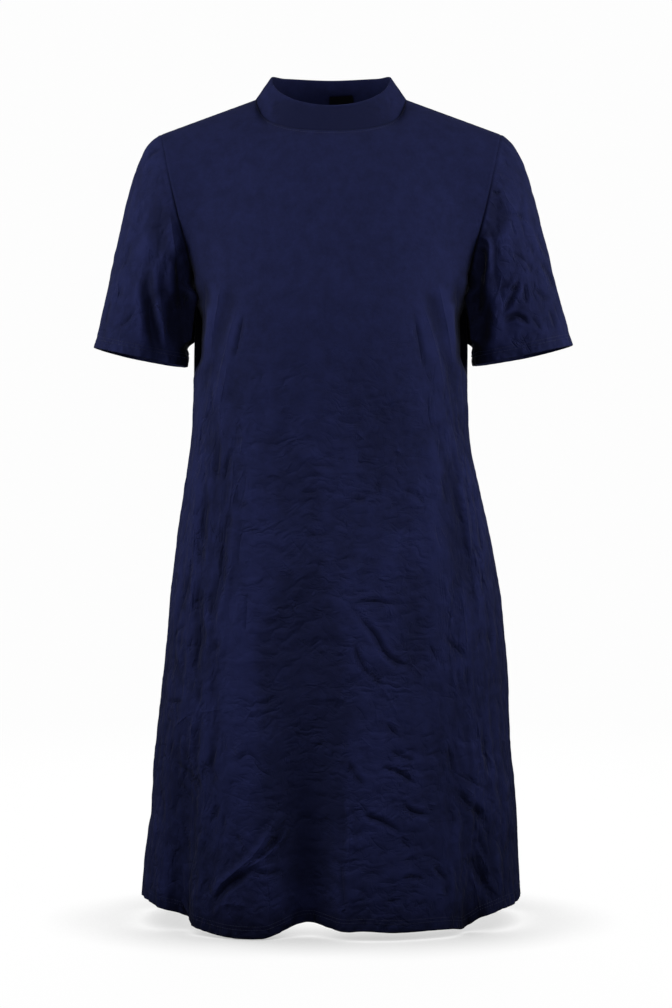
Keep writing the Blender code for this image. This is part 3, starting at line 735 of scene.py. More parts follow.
def sleeve_surface(side, turn, steps):
    """A sleeve as rings from the armhole to the hem; a ring runs from its top over its front."""
    armhole = armhole_ring(1.0 - 2.0 * turn)
    angle = turn * 2 * math.pi
    hem_row = [row for row in SLEEVE_HEMS if row[0] == side][0]
    _, outer_x, outer_z, inner_x, inner_z, lean = hem_row
    middle = np.array([(outer_x + inner_x) / 2, 0.0, (outer_z + inner_z) / 2])
    wide = np.array([(outer_x - inner_x) / 2, 0.0, (outer_z - inner_z) / 2])
    deep = np.array([0.0, -SLEEVE_HEM_DEPTH, 0.0])
    top = np.clip(np.cos(angle), 0, 1)[:, None] ** 2
    flank = np.sin(angle)[:, None] ** 2
    under = np.clip(-np.cos(angle), 0, 1)[:, None] ** 2
    hem = middle + np.cos(angle)[:, None] * wide + np.sin(angle)[:, None] * deep
    hem[:, 2] -= SLEEVE_HEM_SAG * np.sin(angle) ** 2
    run = top * np.array(CAP_RUN) + flank * np.array(FLANK_RUN) + under * np.array(UNDERARM_RUN)
    leave = np.stack([run[:, 0], -run[:, 1] * np.sin(angle), -run[:, 2]], axis=1)
    hang = np.array([lean, 0.0, -math.sqrt(1 - lean ** 2)])
    arrive = -hang * run[:, 3:]
    away = UNDERARM_WAY * under + ARMHOLE_WAY * (1 - under)
    start = armhole + away * ARMHOLE_GAP
    rings = []
    for step in steps:
        ring = ((1 - step) ** 3 * start + 3 * (1 - step) ** 2 * step * (start + leave)
                + 3 * (1 - step) * step ** 2 * (hem + arrive) + step ** 3 * hem)
        ring = laid_on_body(side, angle, ring)
        rings.append(ring + sleeve_fold_shift(side, angle, step, ring))
    surface = np.array(rings)
    surface[:, :, 0] *= side
    return surface


def wall_normals(grid, closed):
    """Unit normals of a grid of points; closed joins its last column to its first."""
    if closed:
        wide = np.concatenate([grid[:, -1:], grid, grid[:, :1]], axis=1)
        along = np.gradient(wide, axis=1)[:, 1:-1]
    else:
        along = np.gradient(grid, axis=1)
    up = np.gradient(grid, axis=0)
    normal = np.cross(along, up)
    return normal / np.linalg.norm(normal, axis=2, keepdims=True)


def run_lengths(grid, axis):
    """Distance of each point of a grid from its first row or column, along the cloth."""
    steps = np.linalg.norm(np.diff(grid, axis=axis), axis=2)
    pad = [(0, 0), (0, 0)]
    pad[axis] = (1, 0)
    return np.pad(np.cumsum(steps, axis=axis), pad)


# ---------------------------------------------------------------- creases
def smooth_route(places, count=10):
    """A smooth line through the places of a crease."""
    places = np.array(places, float)
    if len(places) == 2:
        return places
    knots = np.concatenate([[0], np.cumsum(np.linalg.norm(np.diff(places, axis=0), axis=1))])
    at = np.linspace(0, knots[-1], count)
    return hermite(knots, places, slopes(knots, places), at)


class Creases:
    """What the creases of a piece add up to at each of its points."""

    def __init__(self, shape):
        self.push = np.zeros(shape)                  # soft troughs and ridges, which are modelled
        self.broad = np.zeros(shape)                 # the broad ones among them
        self.nearest = np.full(shape, LINE_REACH)    # distance to the nearest sharp line
        self.beside = np.full(shape, LINE_REACH)     # the same, signed by the side that it lies on
        self.sharp = np.zeros(shape)                 # depth of that line, which the shader cuts

    def add(self, where, places, width, depth, share=None, soft_share=SOFT_SHARE):
        """Add one crease, or a ridge if its depth is negative, along its places."""
        route = smooth_route(places)
        soft = max(width * SOFT_WIDTH, LEAST_SOFT)
        margin = max((LIP_PLACE + 1.5) * soft, LINE_REACH)
        low, high = route.min(axis=0) - margin, route.max(axis=0) + margin
        painted_contact_shadow = np.flatnonzero((where[..., 0] > low[0]) & (where[..., 0] < high[0])
                              & (where[..., 1] > low[1]) & (where[..., 1] < high[1]))
        if len(painted_contact_shadow) == 0:
            return
        points = where.reshape(-1, 2)[painted_contact_shadow]
        start, step = route[:-1], np.diff(route, axis=0)
        length = np.linalg.norm(step, axis=1)
        away = points[:, None] - start
        part = np.clip((away * step).sum(axis=2) / length ** 2, 0, 1)
        miss = np.linalg.norm(away - part[..., None] * step, axis=2)
        closest = miss.argmin(axis=1)
        rows = np.arange(len(points))
        miss = miss[rows, closest]
        turn = step[closest, 0] * away[rows, closest, 1] - step[closest, 1] * away[rows, closest, 0]
        done = np.concatenate([[0], np.cumsum(length)])
        along = (done[closest] + part[rows, closest] * length[closest]) / done[-1]
        ends = ease(along / TAPER) * ease((1 - along) / TAPER)
        if share is not None:
            ends = ends * share.ravel()[painted_contact_shadow]
        across = miss / (soft * (0.55 + 0.45 * ends))
        lips = LIP_SHARE * np.exp(-((across - LIP_PLACE) / 0.8) ** 2)
        store = self.broad if width > BLUNT[1] * MM or depth > FREE_DEPTH else self.push
        store.ravel()[painted_contact_shadow] += depth * soft_share * ends * (lips - np.exp(-across ** 1.7))
        crisp = 1 - ease_between(width / MM, BLUNT) if depth < FREE_DEPTH else 0
        line = np.clip(depth * LINE_SHARE, -LINE_MOST, LINE_MOST) * crisp * ends
        closer = (miss < self.nearest.ravel()[painted_contact_shadow]) & (np.abs(line) > 0.01 * MM)
        found = painted_contact_shadow[closer]
        self.nearest.ravel()[found] = miss[closer]
        self.beside.ravel()[found] = (miss * np.where(turn < 0, -1, 1))[closer]
        self.sharp.ravel()[found] = (line * ease(2 - 2 * miss / LINE_REACH))[closer]

    def add_table(self, where, table, mirror=1, share=None):
        """Add the creases of a table that was placed one by one."""
        for width, depth, *places in table:
            route = np.array(places, float).reshape(-1, 2) * (mirror, 1) * MM
            self.add(where, route, width * MM, depth * MM, share)

    def scatter(self, where, zone, seed):
        """Add a zone's small creases."""
        middle, reach, height, reach_z, count, turn, spread, length, width, depth = zone
        draw = np.random.default_rng(seed)
        for _ in range(count):
            centre = np.array([middle + reach * draw.uniform(-1, 1),
                               height + reach_z * draw.uniform(-1, 1)])
            way = math.radians(draw.normal(turn, spread))
            size = length * math.exp(draw.normal(0, 0.4))
            bow = size * draw.normal(0, 0.07)
            along = np.array([math.cos(way), math.sin(way)]) * size / 2
            beside = np.array([-math.sin(way), math.cos(way)]) * bow
            sign = -1 if draw.random() < RIDGE_ODDS else 1
            own_depth = depth * math.exp(draw.normal(0, 0.5)) * sign
            own_width = width * math.exp(draw.normal(0, 0.22))
            places = np.array([centre - along, centre + beside, centre + along]) * MM
            self.add(where, places, own_width * MM, own_depth * MM, soft_share=SMALL_SHARE)

    def settled(self):
        """The modelled creases, held back where many of them cross."""
        return self.broad + DEEPEST_FOLD * np.tanh(self.push / DEEPEST_FOLD)


def crumple(where, grain, depth, offset, folded=False):
    """Irregular relief over places on the cloth; grain is its usual size across and up, in
    millimetres.  Folded relief meets in sharp troughs."""
    flat = where.reshape(-1, 2) / (grain[0] * MM, grain[1] * MM)
    values = [noise.noise(Vector((x, y, offset)))
              + SECOND_SHARE * noise.noise(Vector((SECOND_GRAIN * x, SECOND_GRAIN * y, -offset)))
              for x, y in flat]
    values = np.array(values).reshape(where.shape[:-1])
    return (np.abs(values) * 2 - 0.5 if folded else values) * depth


# ---------------------------------------------------------------- cloth meshes
def quads(rows, columns, at):
    """Faces between neighbouring points; at gives the number of the point in a row and column."""
    return [(at(row, column), at(row, column + 1), at(row + 1, column + 1), at(row + 1, column))
            for row in rows for column in columns]


def deepest(push, rows, columns, closed):
    """The most inward push near each point that the inner skin keeps."""
    result = np.zeros((len(rows), len(columns)))
    width = push.shape[1]
    for i, row in enumerate(rows):
        band = push[max(0, row - INNER_STEP):row + INNER_STEP + 1]
        for j, column in enumerate(columns):
            reach = np.arange(column - INNER_STEP, column + INNER_STEP + 1)
            reach = reach % width if closed else np.clip(reach, 0, width - 1)
            result[i, j] = band[:, reach].min()
    return result


def turned_rim(edge, inward, beyond, thickness):
    """Rows that turn a hem's edge round to its inner side."""
    rows = []
    for step in range(1, RIM_STEPS + 1):
        angle = math.pi * step / RIM_STEPS
        rows.append(edge + (inward * (1 - math.cos(angle)) + beyond * math.sin(angle)) * thickness / 2)
    return np.array(rows)


class ClothMesh:
    """A closed wall of cloth: a fine outer skin, a turned hem and a coarser inner skin."""

    def __init__(self, outer, base, inward, push, keep_rows, keep_columns, closed, thickness):
        self.closed = closed
        self.rows, self.columns = outer.shape[:2]
        self.keep_rows, self.keep_columns = keep_rows, keep_columns
        beyond = outer[0] - outer[1]
        beyond /= np.linalg.norm(beyond, axis=1, keepdims=True)
        rim = turned_rim(outer[0], inward[0], beyond, thickness)
        low = deepest(push, keep_rows, keep_columns, closed)
        kept = np.ix_(keep_rows, keep_columns)
        inner = base[kept] + inward[kept] * (thickness - np.minimum(low, 0))[..., None]
        self.points = np.concatenate([outer.reshape(-1, 3), rim.reshape(-1, 3),
                                      inner[1:].reshape(-1, 3)])
        self.rim_start = self.rows * self.columns
        self.inner_start = self.rim_start + RIM_STEPS * self.columns
        self.faces = self.fine_faces() + self.inner_faces()
        if not closed:
            self.faces += self.side_faces(0, 0) + self.side_faces(-1, self.columns - 1)

    def outer_at(self, row, column):
        """Outer points by row and column."""
        return row * self.columns + column % self.columns

    def rim_at(self, step, column):
        """Rim points by step; step 0 is the hem's own edge."""
        column = column % self.columns
        return column if step == 0 else self.rim_start + (step - 1) * self.columns + column

    def inner_at(self, row, column):
        """Inner points by kept row and column; row 0 is the last row of the rim."""
        column = column % len(self.keep_columns)
        if row == 0:
            return self.rim_at(RIM_STEPS, self.keep_columns[column])
        return self.inner_start + (row - 1) * len(self.keep_columns) + column

    def fine_faces(self):
        """The outer skin and the rim."""
        columns = range(self.columns if self.closed else self.columns - 1)
        rim = quads(columns, range(RIM_STEPS), lambda column, step: self.rim_at(step, column))
        return quads(range(self.rows - 1), columns, self.outer_at) + rim

    def spans(self):
        """The fine columns from each kept column to the next."""
        ends = [*self.keep_columns[1:], self.columns] if self.closed else self.keep_columns[1:]
        return [range(start, end + 1) for start, end in zip(self.keep_columns, ends)]

    def inner_faces(self):
        """The inner skin, and the faces that join it to the rim and to the upper edge."""
        last = len(self.keep_rows) - 1
        spans = self.spans()
        faces = quads(range(1, last), range(len(spans)), self.inner_at)
        for span, fine in enumerate(spans):
            low = [self.rim_at(RIM_STEPS, column) for column in fine]
            high = [self.outer_at(self.rows - 1, column) for column in fine]
            for edge, row in ((low, 1), (high, last)):
                faces.append((*edge, self.inner_at(row, span + 1), self.inner_at(row, span)))
        return faces

    def side_faces(self, kept_column, column):
        """The narrow faces along one side of an open piece."""
        faces = []
        for span in range(len(self.keep_rows) - 1):
            start, end = self.keep_rows[span], self.keep_rows[span + 1]
            edge = [self.outer_at(row, column) for row in range(start, end + 1)]
            edge += [self.inner_at(span + 1, kept_column), self.inner_at(span, kept_column)]
            if span == 0:
                edge += [self.rim_at(step, column) for step in range(RIM_STEPS - 1, 0, -1)]
            faces.append(tuple(edge))
        return faces

    def spread(self, fine):
        """Values of the outer skin's points, carried over to the rim and the inner skin."""
        rim = np.repeat(fine[:1], RIM_STEPS, axis=0)
        inner = fine[np.ix_(self.keep_rows[1:], self.keep_columns)]
        return np.concatenate([part.reshape(-1, *fine.shape[2:]) for part in (fine, rim, inner)])


def mesh_object(name, points, faces, uv, attributes, girth=None):
    """Make an object of the mesh, with its cloth map in metres and its attributes."""
    mesh = bpy.data.meshes.new(name)
    mesh.from_pydata(points.tolist(), [], faces)
    shape = bmesh.new()
    shape.from_mesh(mesh)
    bmesh.ops.recalc_face_normals(shape, faces=shape.faces)
    shape.to_mesh(mesh)
    shape.free()
    mesh.shade_smooth()
    mesh.set_sharp_from_angle(angle=math.radians(60))
    corner = np.zeros(len(mesh.loops), int)
    mesh.loops.foreach_get("vertex_index", corner)
    places = uv[corner]
    if girth is not None:
        first = np.zeros(len(mesh.polygons), int)
        mesh.polygons.foreach_get("loop_start", first)
        sizes = np.diff(np.append(first, len(corner)))
        highest = np.repeat(np.maximum.reduceat(places[:, 0], first), sizes)
        places[:, 0] += np.where(highest - places[:, 0] > girth / 2, girth, 0)
    layer = mesh.uv_layers.new(name="cloth_map")
    layer.data.foreach_set("uv", places.astype(np.float32).ravel())
    for title, values in attributes.items():
        store = mesh.attributes.new(title, "FLOAT", "POINT")
        store.data.foreach_set("value", values.astype(np.float32).ravel())
    piece = bpy.data.objects.new(name, mesh)
    bpy.context.collection.objects.link(piece)
    return piece


def finish_cloth(piece, node, material):
    """Give a piece its material and its place in the frame."""
    piece.data.materials.append(material)
    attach(piece, "root")
    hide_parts(node)


def hem_relief(run, from_hem, seed, settings):
    """Grooves of the twin-needle rows, small puckers about them and a slightly wavy edge."""
    draw = np.random.default_rng(seed)
    relief = np.zeros_like(from_hem)
    for row in (settings.hem_stitch, settings.hem_stitch + settings.needle_gap):
        relief -= HEM_GROOVE * np.exp(-((from_hem - row) / HEM_GROOVE_WIDTH) ** 2)
    wave = np.zeros_like(run)
    for length in EDGE_WAVES:
        wave += ripple(run, length, draw) * draw.uniform(0.2, 0.5)
    relief += wave * EDGE_WAVE * np.exp(-(from_hem / EDGE_REACH) ** 2)
    for length in HEM_PUCKERS:
        pucker = ripple(run + from_hem * 0.6, length, draw)
        relief += pucker * HEM_PUCKER * bump((from_hem - 7 * MM) / (9 * MM))
    return relief


def seam_relief(run, from_seam, seed):
    """The dip of cloth into a seam and the small puckers beside it."""
    draw = np.random.default_rng(seed)
    relief = -SEAM_SINK * np.exp(-(from_seam / SEAM_REACH) ** 2)
    relief += SEAM_LIP * np.exp(-((from_seam - SEAM_LIP_PLACE) / SEAM_LIP_WIDTH) ** 2)
    swell = 0.5 + 0.5 * ripple(run, SEAM_SWELL, draw)
    for length in SEAM_PUCKERS:
        relief += ripple(run, length, draw) * swell * SEAM_PUCKER * bump((from_seam - 6 * MM) / (6 * MM))
    return relief


def crease_attributes(cloth, creases, folds, quiet, crinkled, upright):
    """What the jersey's shader reads at each point: how far the cloth stands up, which makes ridges paler
    as worn nap and troughs darker as painted shade, the sharp line of the nearest crease and its depth in
    millimetres, and where and which way it is crinkled."""
    return {
        "rub": cloth.spread(np.clip(folds / (1.5 * MM), -1, 1)),
        "line_beside": cloth.spread(creases.beside / MM),
        "line_depth": cloth.spread(creases.sharp * quiet / MM),
        "crinkle": cloth.spread(crinkled * quiet),
        "upright": cloth.spread(upright),
    }


# ---------------------------------------------------------------- front and back
PANELS = {}                # grids of the finished panels and sleeves, which the stitching follows


def panel_lines():
    """Places across and up a panel at which its fine surface is worked out."""
    even = np.linspace(-1, 1, PANEL_COLUMNS + 1)
    near_side = SEAM_STEPS / HALF_PANEL
    across = np.concatenate([[-1], -1 + near_side, even[1:-1], 1 - near_side[::-1], [1]])
    levels = np.linspace(0, 1, SKIRT_ROWS + 1)
    levels = np.concatenate([[0], HEM_STEPS / SKIRT_LENGTH, levels[1:]])
    rises = np.linspace(0, 1, YOKE_ROWS + 1)[1:]
    near_top = 1 - NECK_STEPS[::-1] / YOKE_LENGTH
    rises = np.concatenate([rises[rises < near_top[0] - 0.004], near_top, [1.0]])
    return across, levels, rises


def panel_object(name, side, table, seed, settings, material):
    """Model the front or back with its folds, creases, hem and seams."""
    across, levels, rises = panel_lines()
    rows = [skirt_row(side, across, level) for level in levels]
    rows += [yoke_row(side, across, rise) for rise in rises]
    base = np.array(rows)
    inward = wall_normals(base, closed=False) * side
    skirt = len(levels)
    inward[:skirt, 0] = (1, 0, 0)
    inward[:skirt, -1] = (-1, 0, 0)
    outward = -inward
    shoulder = np.abs(across) >= NECK_SHARE - 1e-9
    wall = inward.copy()
    wall[-1, shoulder] = (0, 0, -1)
    run = run_lengths(base, 1)
    from_left, from_right = run, run[:, -1:] - run
    across_cloth = run - run[:, len(across) // 2][:, None]
    rise = run_lengths(base, 0)
    from_hem, from_top = rise, rise[-1:] - rise
    from_side = np.minimum(from_left, from_right)
    quiet = ease(np.minimum(from_side, from_top) / SEAM_QUIET)
    seen = base[..., (0, 2)]
    laid = np.stack([across_cloth, base[..., 2]], axis=-1)
    creases = Creases(base.shape[:2])
    creases.add_table(seen, table)
    for number, zone in enumerate(WRINKLE_ZONES):
        if zone[0] == side:
            creases.scatter(laid, zone[1:], SEED + seed + number)
    height = base[..., 2]
    crinkled = ease_between(height, CRINKLE_HEIGHTS) * (1 - UPPER_CRINKLE)
    crinkled += ease_between(height, UPPER_HEIGHTS) * UPPER_CRINKLE
    upright = ease_between(np.abs(across_cloth), SIDE_REACH) * ease_between(height, SIDE_HEIGHTS)
    folds = creases.settled()
    calm = FLANK_CALM + (1 - FLANK_CALM) * np.abs(outward[..., 1])
    leaning = laid.copy()
    leaning[..., 0] += FOLD_LEAN * height * np.sign(across_cloth)
    zones = {"sides": crinkled * upright * calm, "middle": crinkled * (1 - upright), "skirt": crinkled}
    for *grain, depth, change, leans, folded, zone in CRUMPLES:
        folds += crumple(leaning if leans else laid, grain, depth * MM * zones[zone], seed + change, folded)
    push = folds * quiet * settings.crease_depth
    side_run = np.where(from_side < from_top, height, run)
    push += seam_relief(side_run, np.minimum(from_side, from_top), seed + 50)
    groove = np.exp(-((from_top - settings.neck_stitch) / NECK_GROOVE_WIDTH) ** 2)
    push -= NECK_GROOVE * groove * (np.abs(across) < NECK_SHARE)
    push += hem_relief(run, from_hem, seed + 70, settings) * ease(from_side / (4 * MM))
    outer = base + outward * push[..., None]
    outer[:skirt, (0, -1), 1] = base[:skirt, (0, -1), 1] + side * SEAM_GAP / 2
    outer[-1, shoulder, 1] += side * SEAM_GAP / 2
    inner_base = base.copy()
    inner_base[:skirt, (0, -1), 1] += side * SEAM_GAP / 2 + SEAM_SLANT
    inner_base[-1, shoulder, 1] += side * SEAM_GAP / 2
    coarse = np.arange(INNER_STEP, PANEL_COLUMNS, INNER_STEP) + len(SEAM_STEPS)
    keep_columns = np.concatenate([[0], coarse, [len(across) - 1]])
    low = np.arange(INNER_STEP, skirt, INNER_STEP) + len(HEM_STEPS)
    high = np.arange(skirt + 5, len(base) - 8, INNER_STEP)
    keep_rows = np.concatenate([[0], low, high, [len(base) - 1]])
    cloth = ClothMesh(outer, inner_base, wall, push, keep_rows, keep_columns, False, settings.cloth)
    uv = np.stack([across_cloth, from_hem], axis=-1)
    attributes = crease_attributes(cloth, creases, folds, quiet, crinkled, upright)
    attributes["lean"] = cloth.spread(leaning[..., 0] - across_cloth)
    piece = mesh_object(name, cloth.points, cloth.faces, cloth.spread(uv), attributes)
    PANELS[name] = (outer, outward, from_hem, from_top)
    finish_cloth(piece, name.replace("_cloth", ""), material)
    return piece


class DRESS_OT_panels(bpy.types.Operator):
    """Cut and crease the front and the back"""

    bl_idname = "dress.panels"
    bl_label = "Front and back"

    def execute(self, context):
        settings = context.scene.dress_settings
        material = jersey_material()
        front = panel_object("front_cloth", FRONT, FRONT_CREASES, 0, settings, material)
        back = panel_object("back_cloth", BACK, BACK_CREASES, 300, settings, material)
        return {"FINISHED"}


# ---------------------------------------------------------------- sleeves
def sleeve_object(name, side, seed, settings, material):
    """Model one sleeve with its folds, creases, hem and armhole seam."""
    turn = np.arange(SLEEVE_COLUMNS) / SLEEVE_COLUMNS
    even = np.linspace(0, 1, SLEEVE_ROWS + 1)
    near_armhole = 1 - SEAM_STEPS[::-1] / SLEEVE_TOP_LENGTH
    steps = 1 - np.concatenate([[0], HEM_STEPS / SLEEVE_LENGTH, even[1:-1], near_armhole, [1]])
    base = sleeve_surface(side, turn, steps)
    inward = wall_normals(base, closed=True) * side
    edge = inward[-1]
    edge[:, 0] = np.where(edge[:, 0] * side < 0, 0.0, edge[:, 0])
    inward[-1] = edge / np.linalg.norm(edge, axis=1, keepdims=True)
    outward = -inward
    around = run_lengths(np.concatenate([base, base[:, :1]], axis=1), 1)
    girth = around[:, -1:]
    around = around[:, :-1]
    from_hem = run_lengths(base, 0)
    from_armhole = from_hem[-1:] - from_hem
    signed = np.where(around > girth / 2, around - girth, around)
    quiet = ease(from_armhole / SEAM_QUIET)
    seen = base[..., (0, 2)]
    facing = ease(0.5 - outward[..., 1])
    creases = Creases(base.shape[:2])
    for row_side, *row in SLEEVE_CREASES:
        own = row_side == side
        creases.add_table(seen, [row], 1 if own else -1, facing if own else 1 - facing)
    laid = np.stack([signed, base[..., 2]], axis=-1)
    for number, zone in enumerate(SLEEVE_ZONES):
        if zone[0] == side:
            creases.scatter(laid, zone[1:], SEED + seed + number)
            creases.scatter(laid * (-1, 1), zone[1:], SEED + seed + number + 20)
    folds = creases.settled()
    folds += crumple(laid, (34, 52), 1.1 * MM, seed, folded=True)
    folds += crumple(laid, (22, 22), 0.35 * MM, seed + 9, folded=True)
    push = folds * quiet * settings.crease_depth
    push += seam_relief(around, from_armhole, seed + 50)
    push += hem_relief(around, from_hem, seed + 70, settings)
    outer = base + outward * push[..., None]
    keep_columns = np.arange(0, SLEEVE_COLUMNS, INNER_STEP - 1)
    coarse = np.arange(len(HEM_STEPS) + INNER_STEP, len(base) - 6, INNER_STEP)
    keep_rows = np.concatenate([[0], coarse, [len(base) - 1]])
    cloth = ClothMesh(outer, base, inward, push, keep_rows, keep_columns, True, settings.cloth)
    uv = np.stack([around, from_hem], axis=-1)
    crinkled, upright = np.full(quiet.shape, SLEEVE_CRINKLE), np.full(quiet.shape, SLEEVE_UPRIGHT)
    attributes = crease_attributes(cloth, creases, folds, quiet, crinkled, upright)
    piece = mesh_object(name, cloth.points, cloth.faces, cloth.spread(uv), attributes,
                        girth=float(girth.mean()))
    PANELS[name] = (outer, outward, from_hem, from_armhole)
    finish_cloth(piece, name.replace("_cloth", ""), material)
    return piece


class DRESS_OT_sleeves(bpy.types.Operator):
    """Cut and crease both sleeves"""

    bl_idname = "dress.sleeves"
    bl_label = "Sleeves"

    def execute(self, context):
        settings = context.scene.dress_settings
        material = jersey_material()
        for name, side, seed, area in (("sleeve_left_cloth", -1, 600, 0.0636),
                                       ("sleeve_right_cloth", 1, 700, 0.0641)):
            piece = sleeve_object(name, side, seed, settings, material)
        return {"FINISHED"}


# ---------------------------------------------------------------- collar and label
def collar_rings(steps, columns):
    """Outer surface of the collar band and its inward ways, as rings from the seam up."""
    degrees = np.arange(columns) * 360.0 / columns
    seam = neck_ring(NECK_SEAM, degrees)
    top = neck_ring(COLLAR_TOP, degrees)
    up = (top - seam) / np.linalg.norm(top - seam, axis=1, keepdims=True)
    seam = seam + up * COLLAR_GAP
    outer = np.array([seam + (top - seam) * step for step in steps])
    inward = -wall_normals(outer, closed=True)
    inward[:, :, 2] = np.minimum(inward[:, :, 2], 0.0) * COLLAR_SLANT
    inward /= np.linalg.norm(inward, axis=2, keepdims=True)
    return degrees, outer, inward, up


def collar_object(name, settings, material):
    """Model the collar band, folded double at its top edge."""
    steps = np.linspace(0, 1, COLLAR_ROWS + 1)
    degrees, base, inward, up = collar_rings(steps, COLLAR_COLUMNS)
    height = np.linalg.norm(base[-1] - base[0], axis=1)
    round_run = run_lengths(base, 1)
    signed = np.where(degrees > 180, degrees - 360, degrees)
    from_seam = steps[:, None] * height
    mean_radius = round_run[0, -1] / (2 * math.pi)
    laid = np.stack([np.broadcast_to(np.radians(signed) * mean_radius, from_seam.shape),
                     from_seam], axis=-1)
    creases = Creases(from_seam.shape)
    for width, depth, *places in COLLAR_CREASES:
        route = np.array(places, float).reshape(-1, 2)
        route = np.stack([np.radians(route[:, 0]) * mean_radius, route[:, 1] * height.mean()], axis=1)
        creases.add(laid, route, width * MM, depth * MM)
    inside = bump((steps - 0.55) / 0.62)[:, None]
    relief = (creases.settled() + crumple(laid, (17, 11), 0.5 * MM, 40.0)) * inside
    outer = base - inward * relief[..., None]
    inner = base + inward * (settings.cloth - 0.3 * relief)[..., None]
    rim = []
    for step in range(1, 2 * RIM_STEPS):
        angle = math.pi * step / (2 * RIM_STEPS)
        middle = (outer[-1] + inner[-1]) / 2
        half = (outer[-1] - inner[-1]) / 2
        rim.append(middle + half * math.cos(angle) + up * settings.cloth / 2 * math.sin(angle))
    rings = np.concatenate([outer, np.array(rim), inner[::-1]])
    rows, columns = rings.shape[:2]
    faces = quads(range(rows), range(columns),
                  lambda row, column: row % rows * columns + column % columns)
    run = run_lengths(rings, 0)
    uv = np.stack([np.broadcast_to(round_run[0], run.shape), run], axis=-1)
    hidden = np.zeros((rows - len(outer), columns))
    at_front = ease((np.cos(np.radians(signed)) - 0.35) / 0.6)
    # painted shade: the band's colour is darker at its front, less so near its top edge
    front_shade = COLLAR_FRONT_SHADE * at_front * ease((1.12 - steps) / 0.3)[:, None]
    attributes = {
        "rub": np.concatenate([np.clip(relief / (1.5 * MM), -1, 1) - front_shade, hidden + 0.5]),
        "line_beside": np.concatenate([creases.beside / MM, hidden]),
        "line_depth": np.concatenate([creases.sharp * inside / MM, hidden]),
        "crinkle": np.full((rows, columns), 0.25),
        "upright": np.full((rows, columns), 0.4),
    }
    piece = mesh_object(name, rings.reshape(-1, 3), faces, uv.reshape(-1, 2), attributes,
                        girth=float(round_run[0, -1]))
    finish_cloth(piece, "collar", material)
    return piece


class DRESS_OT_collar(bpy.types.Operator):
    """Make the collar band, folded double"""

    bl_idname = "dress.collar"
    bl_label = "Collar"

    def execute(self, context):
        piece = collar_object("collar_cloth", context.scene.dress_settings, jersey_material())
        return {"FINISHED"}


def label_object(name, material):
    """Model the small bare label, a folded piece of woven tape, inside the centre back."""
    rows, columns = LABEL_POINTS
    _, outer, inward, _ = collar_rings(np.linspace(*LABEL_RISE, rows), BAND_PLACES)
    degrees = LABEL_ANGLE + np.linspace(-LABEL_HALF_ANGLE, LABEL_HALF_ANGLE, columns)
    pick = np.round(degrees * BAND_PLACES / 360).astype(int) % BAND_PLACES
    cloth = bpy.context.scene.dress_settings.cloth
    arch = LABEL_ARCH * (1 - np.linspace(-1, 1, columns)[None, :, None] ** 2)
    painted_contact_shadow = outer[:, pick] + inward[:, pick] * (cloth + LABEL_LIFT + arch)
    far = painted_contact_shadow + inward[:, pick] * LABEL_THICKNESS
    points = np.concatenate([painted_contact_shadow.reshape(-1, 3), far.reshape(-1, 3)])
    skin = rows * columns
    faces = quads(range(rows - 1), range(columns - 1), lambda row, column: row * columns + column)
    faces += [tuple(corner + skin for corner in quad[::-1]) for quad in faces]
    numbers = np.arange(skin).reshape(rows, columns)
    border = [*numbers[0], *numbers[1:, -1], *numbers[-1, -2::-1], *numbers[-2:0:-1, 0]]
    border = [int(number) for number in border]
    for start, end in zip(border, border[1:] + border[:1]):
        faces.append((start, start + skin, end + skin, end))
    uv = np.stack([run_lengths(painted_contact_shadow, 1), run_lengths(painted_contact_shadow, 0)], axis=-1).reshape(-1, 2)
    piece = mesh_object(name, points, faces, np.concatenate([uv, uv]), {})
    finish_cloth(piece, "neck_label", material)
    return piece


class DRESS_OT_label(bpy.types.Operator):
    """Make the bare label inside the collar"""

    bl_idname = "dress.label"
    bl_label = "Label"

    def execute(self, context):
        piece = label_object("neck_label_tape", label_material())
        return {"FINISHED"}


# ---------------------------------------------------------------- stitching
STITCH_LENGTH = 2.5 * MM
STITCH_THICKNESS = 0.55 * MM
STITCH_SINK = 0.05 * MM


def line_on(name, distance, from_hem):
    """Points and outward ways of the line at one distance from a piece's hem or upper edge."""
    outer, outward, hem_run, top_run = PANELS[name]
    run = hem_run if from_hem else top_run[::-1]
    grid = outer if from_hem else outer[::-1]
    ways = outward if from_hem else outward[::-1]
    row = np.array([np.searchsorted(run[:, column], distance) for column in range(run.shape[1])])
    columns = np.arange(run.shape[1])
    before, after = run[row - 1, columns], run[row, columns]
    part = ((distance - before) / (after - before))[:, None]
    points = grid[row - 1, columns] * (1 - part) + grid[row, columns] * part
    return points, ways[row, columns]


def stitch_shape():
    """One stitch, a short rounded thread, modelled once and copied along each line."""
    bpy.ops.object.select_all(action="DESELECT")
    bpy.ops.mesh.primitive_uv_sphere_add(segments=6, ring_count=5, radius=0.5, location=(0, 0, 0))
    shape = bpy.context.object
    bpy.ops.object.mode_set(mode="EDIT")
    bpy.ops.mesh.select_all(action="SELECT")
    bpy.ops.transform.rotate(value=math.pi / 2, orient_axis="Y", center_override=(0, 0, 0))
    bpy.ops.transform.resize(value=(STITCH_LENGTH, STITCH_THICKNESS, STITCH_THICKNESS * 0.8),
                             center_override=(0, 0, 0))
    bpy.ops.object.mode_set(mode="OBJECT")
    points = np.array([vertex.co for vertex in shape.data.vertices])
    faces = [tuple(polygon.vertices) for polygon in shape.data.polygons]
    bpy.data.objects.remove(shape, do_unlink=True)
    return points, faces


def read_line(run, values, place):
    """A line's points or ways at one place along its run."""
    return np.array([np.interp(place, run, values[:, axis]) for axis in range(3)])


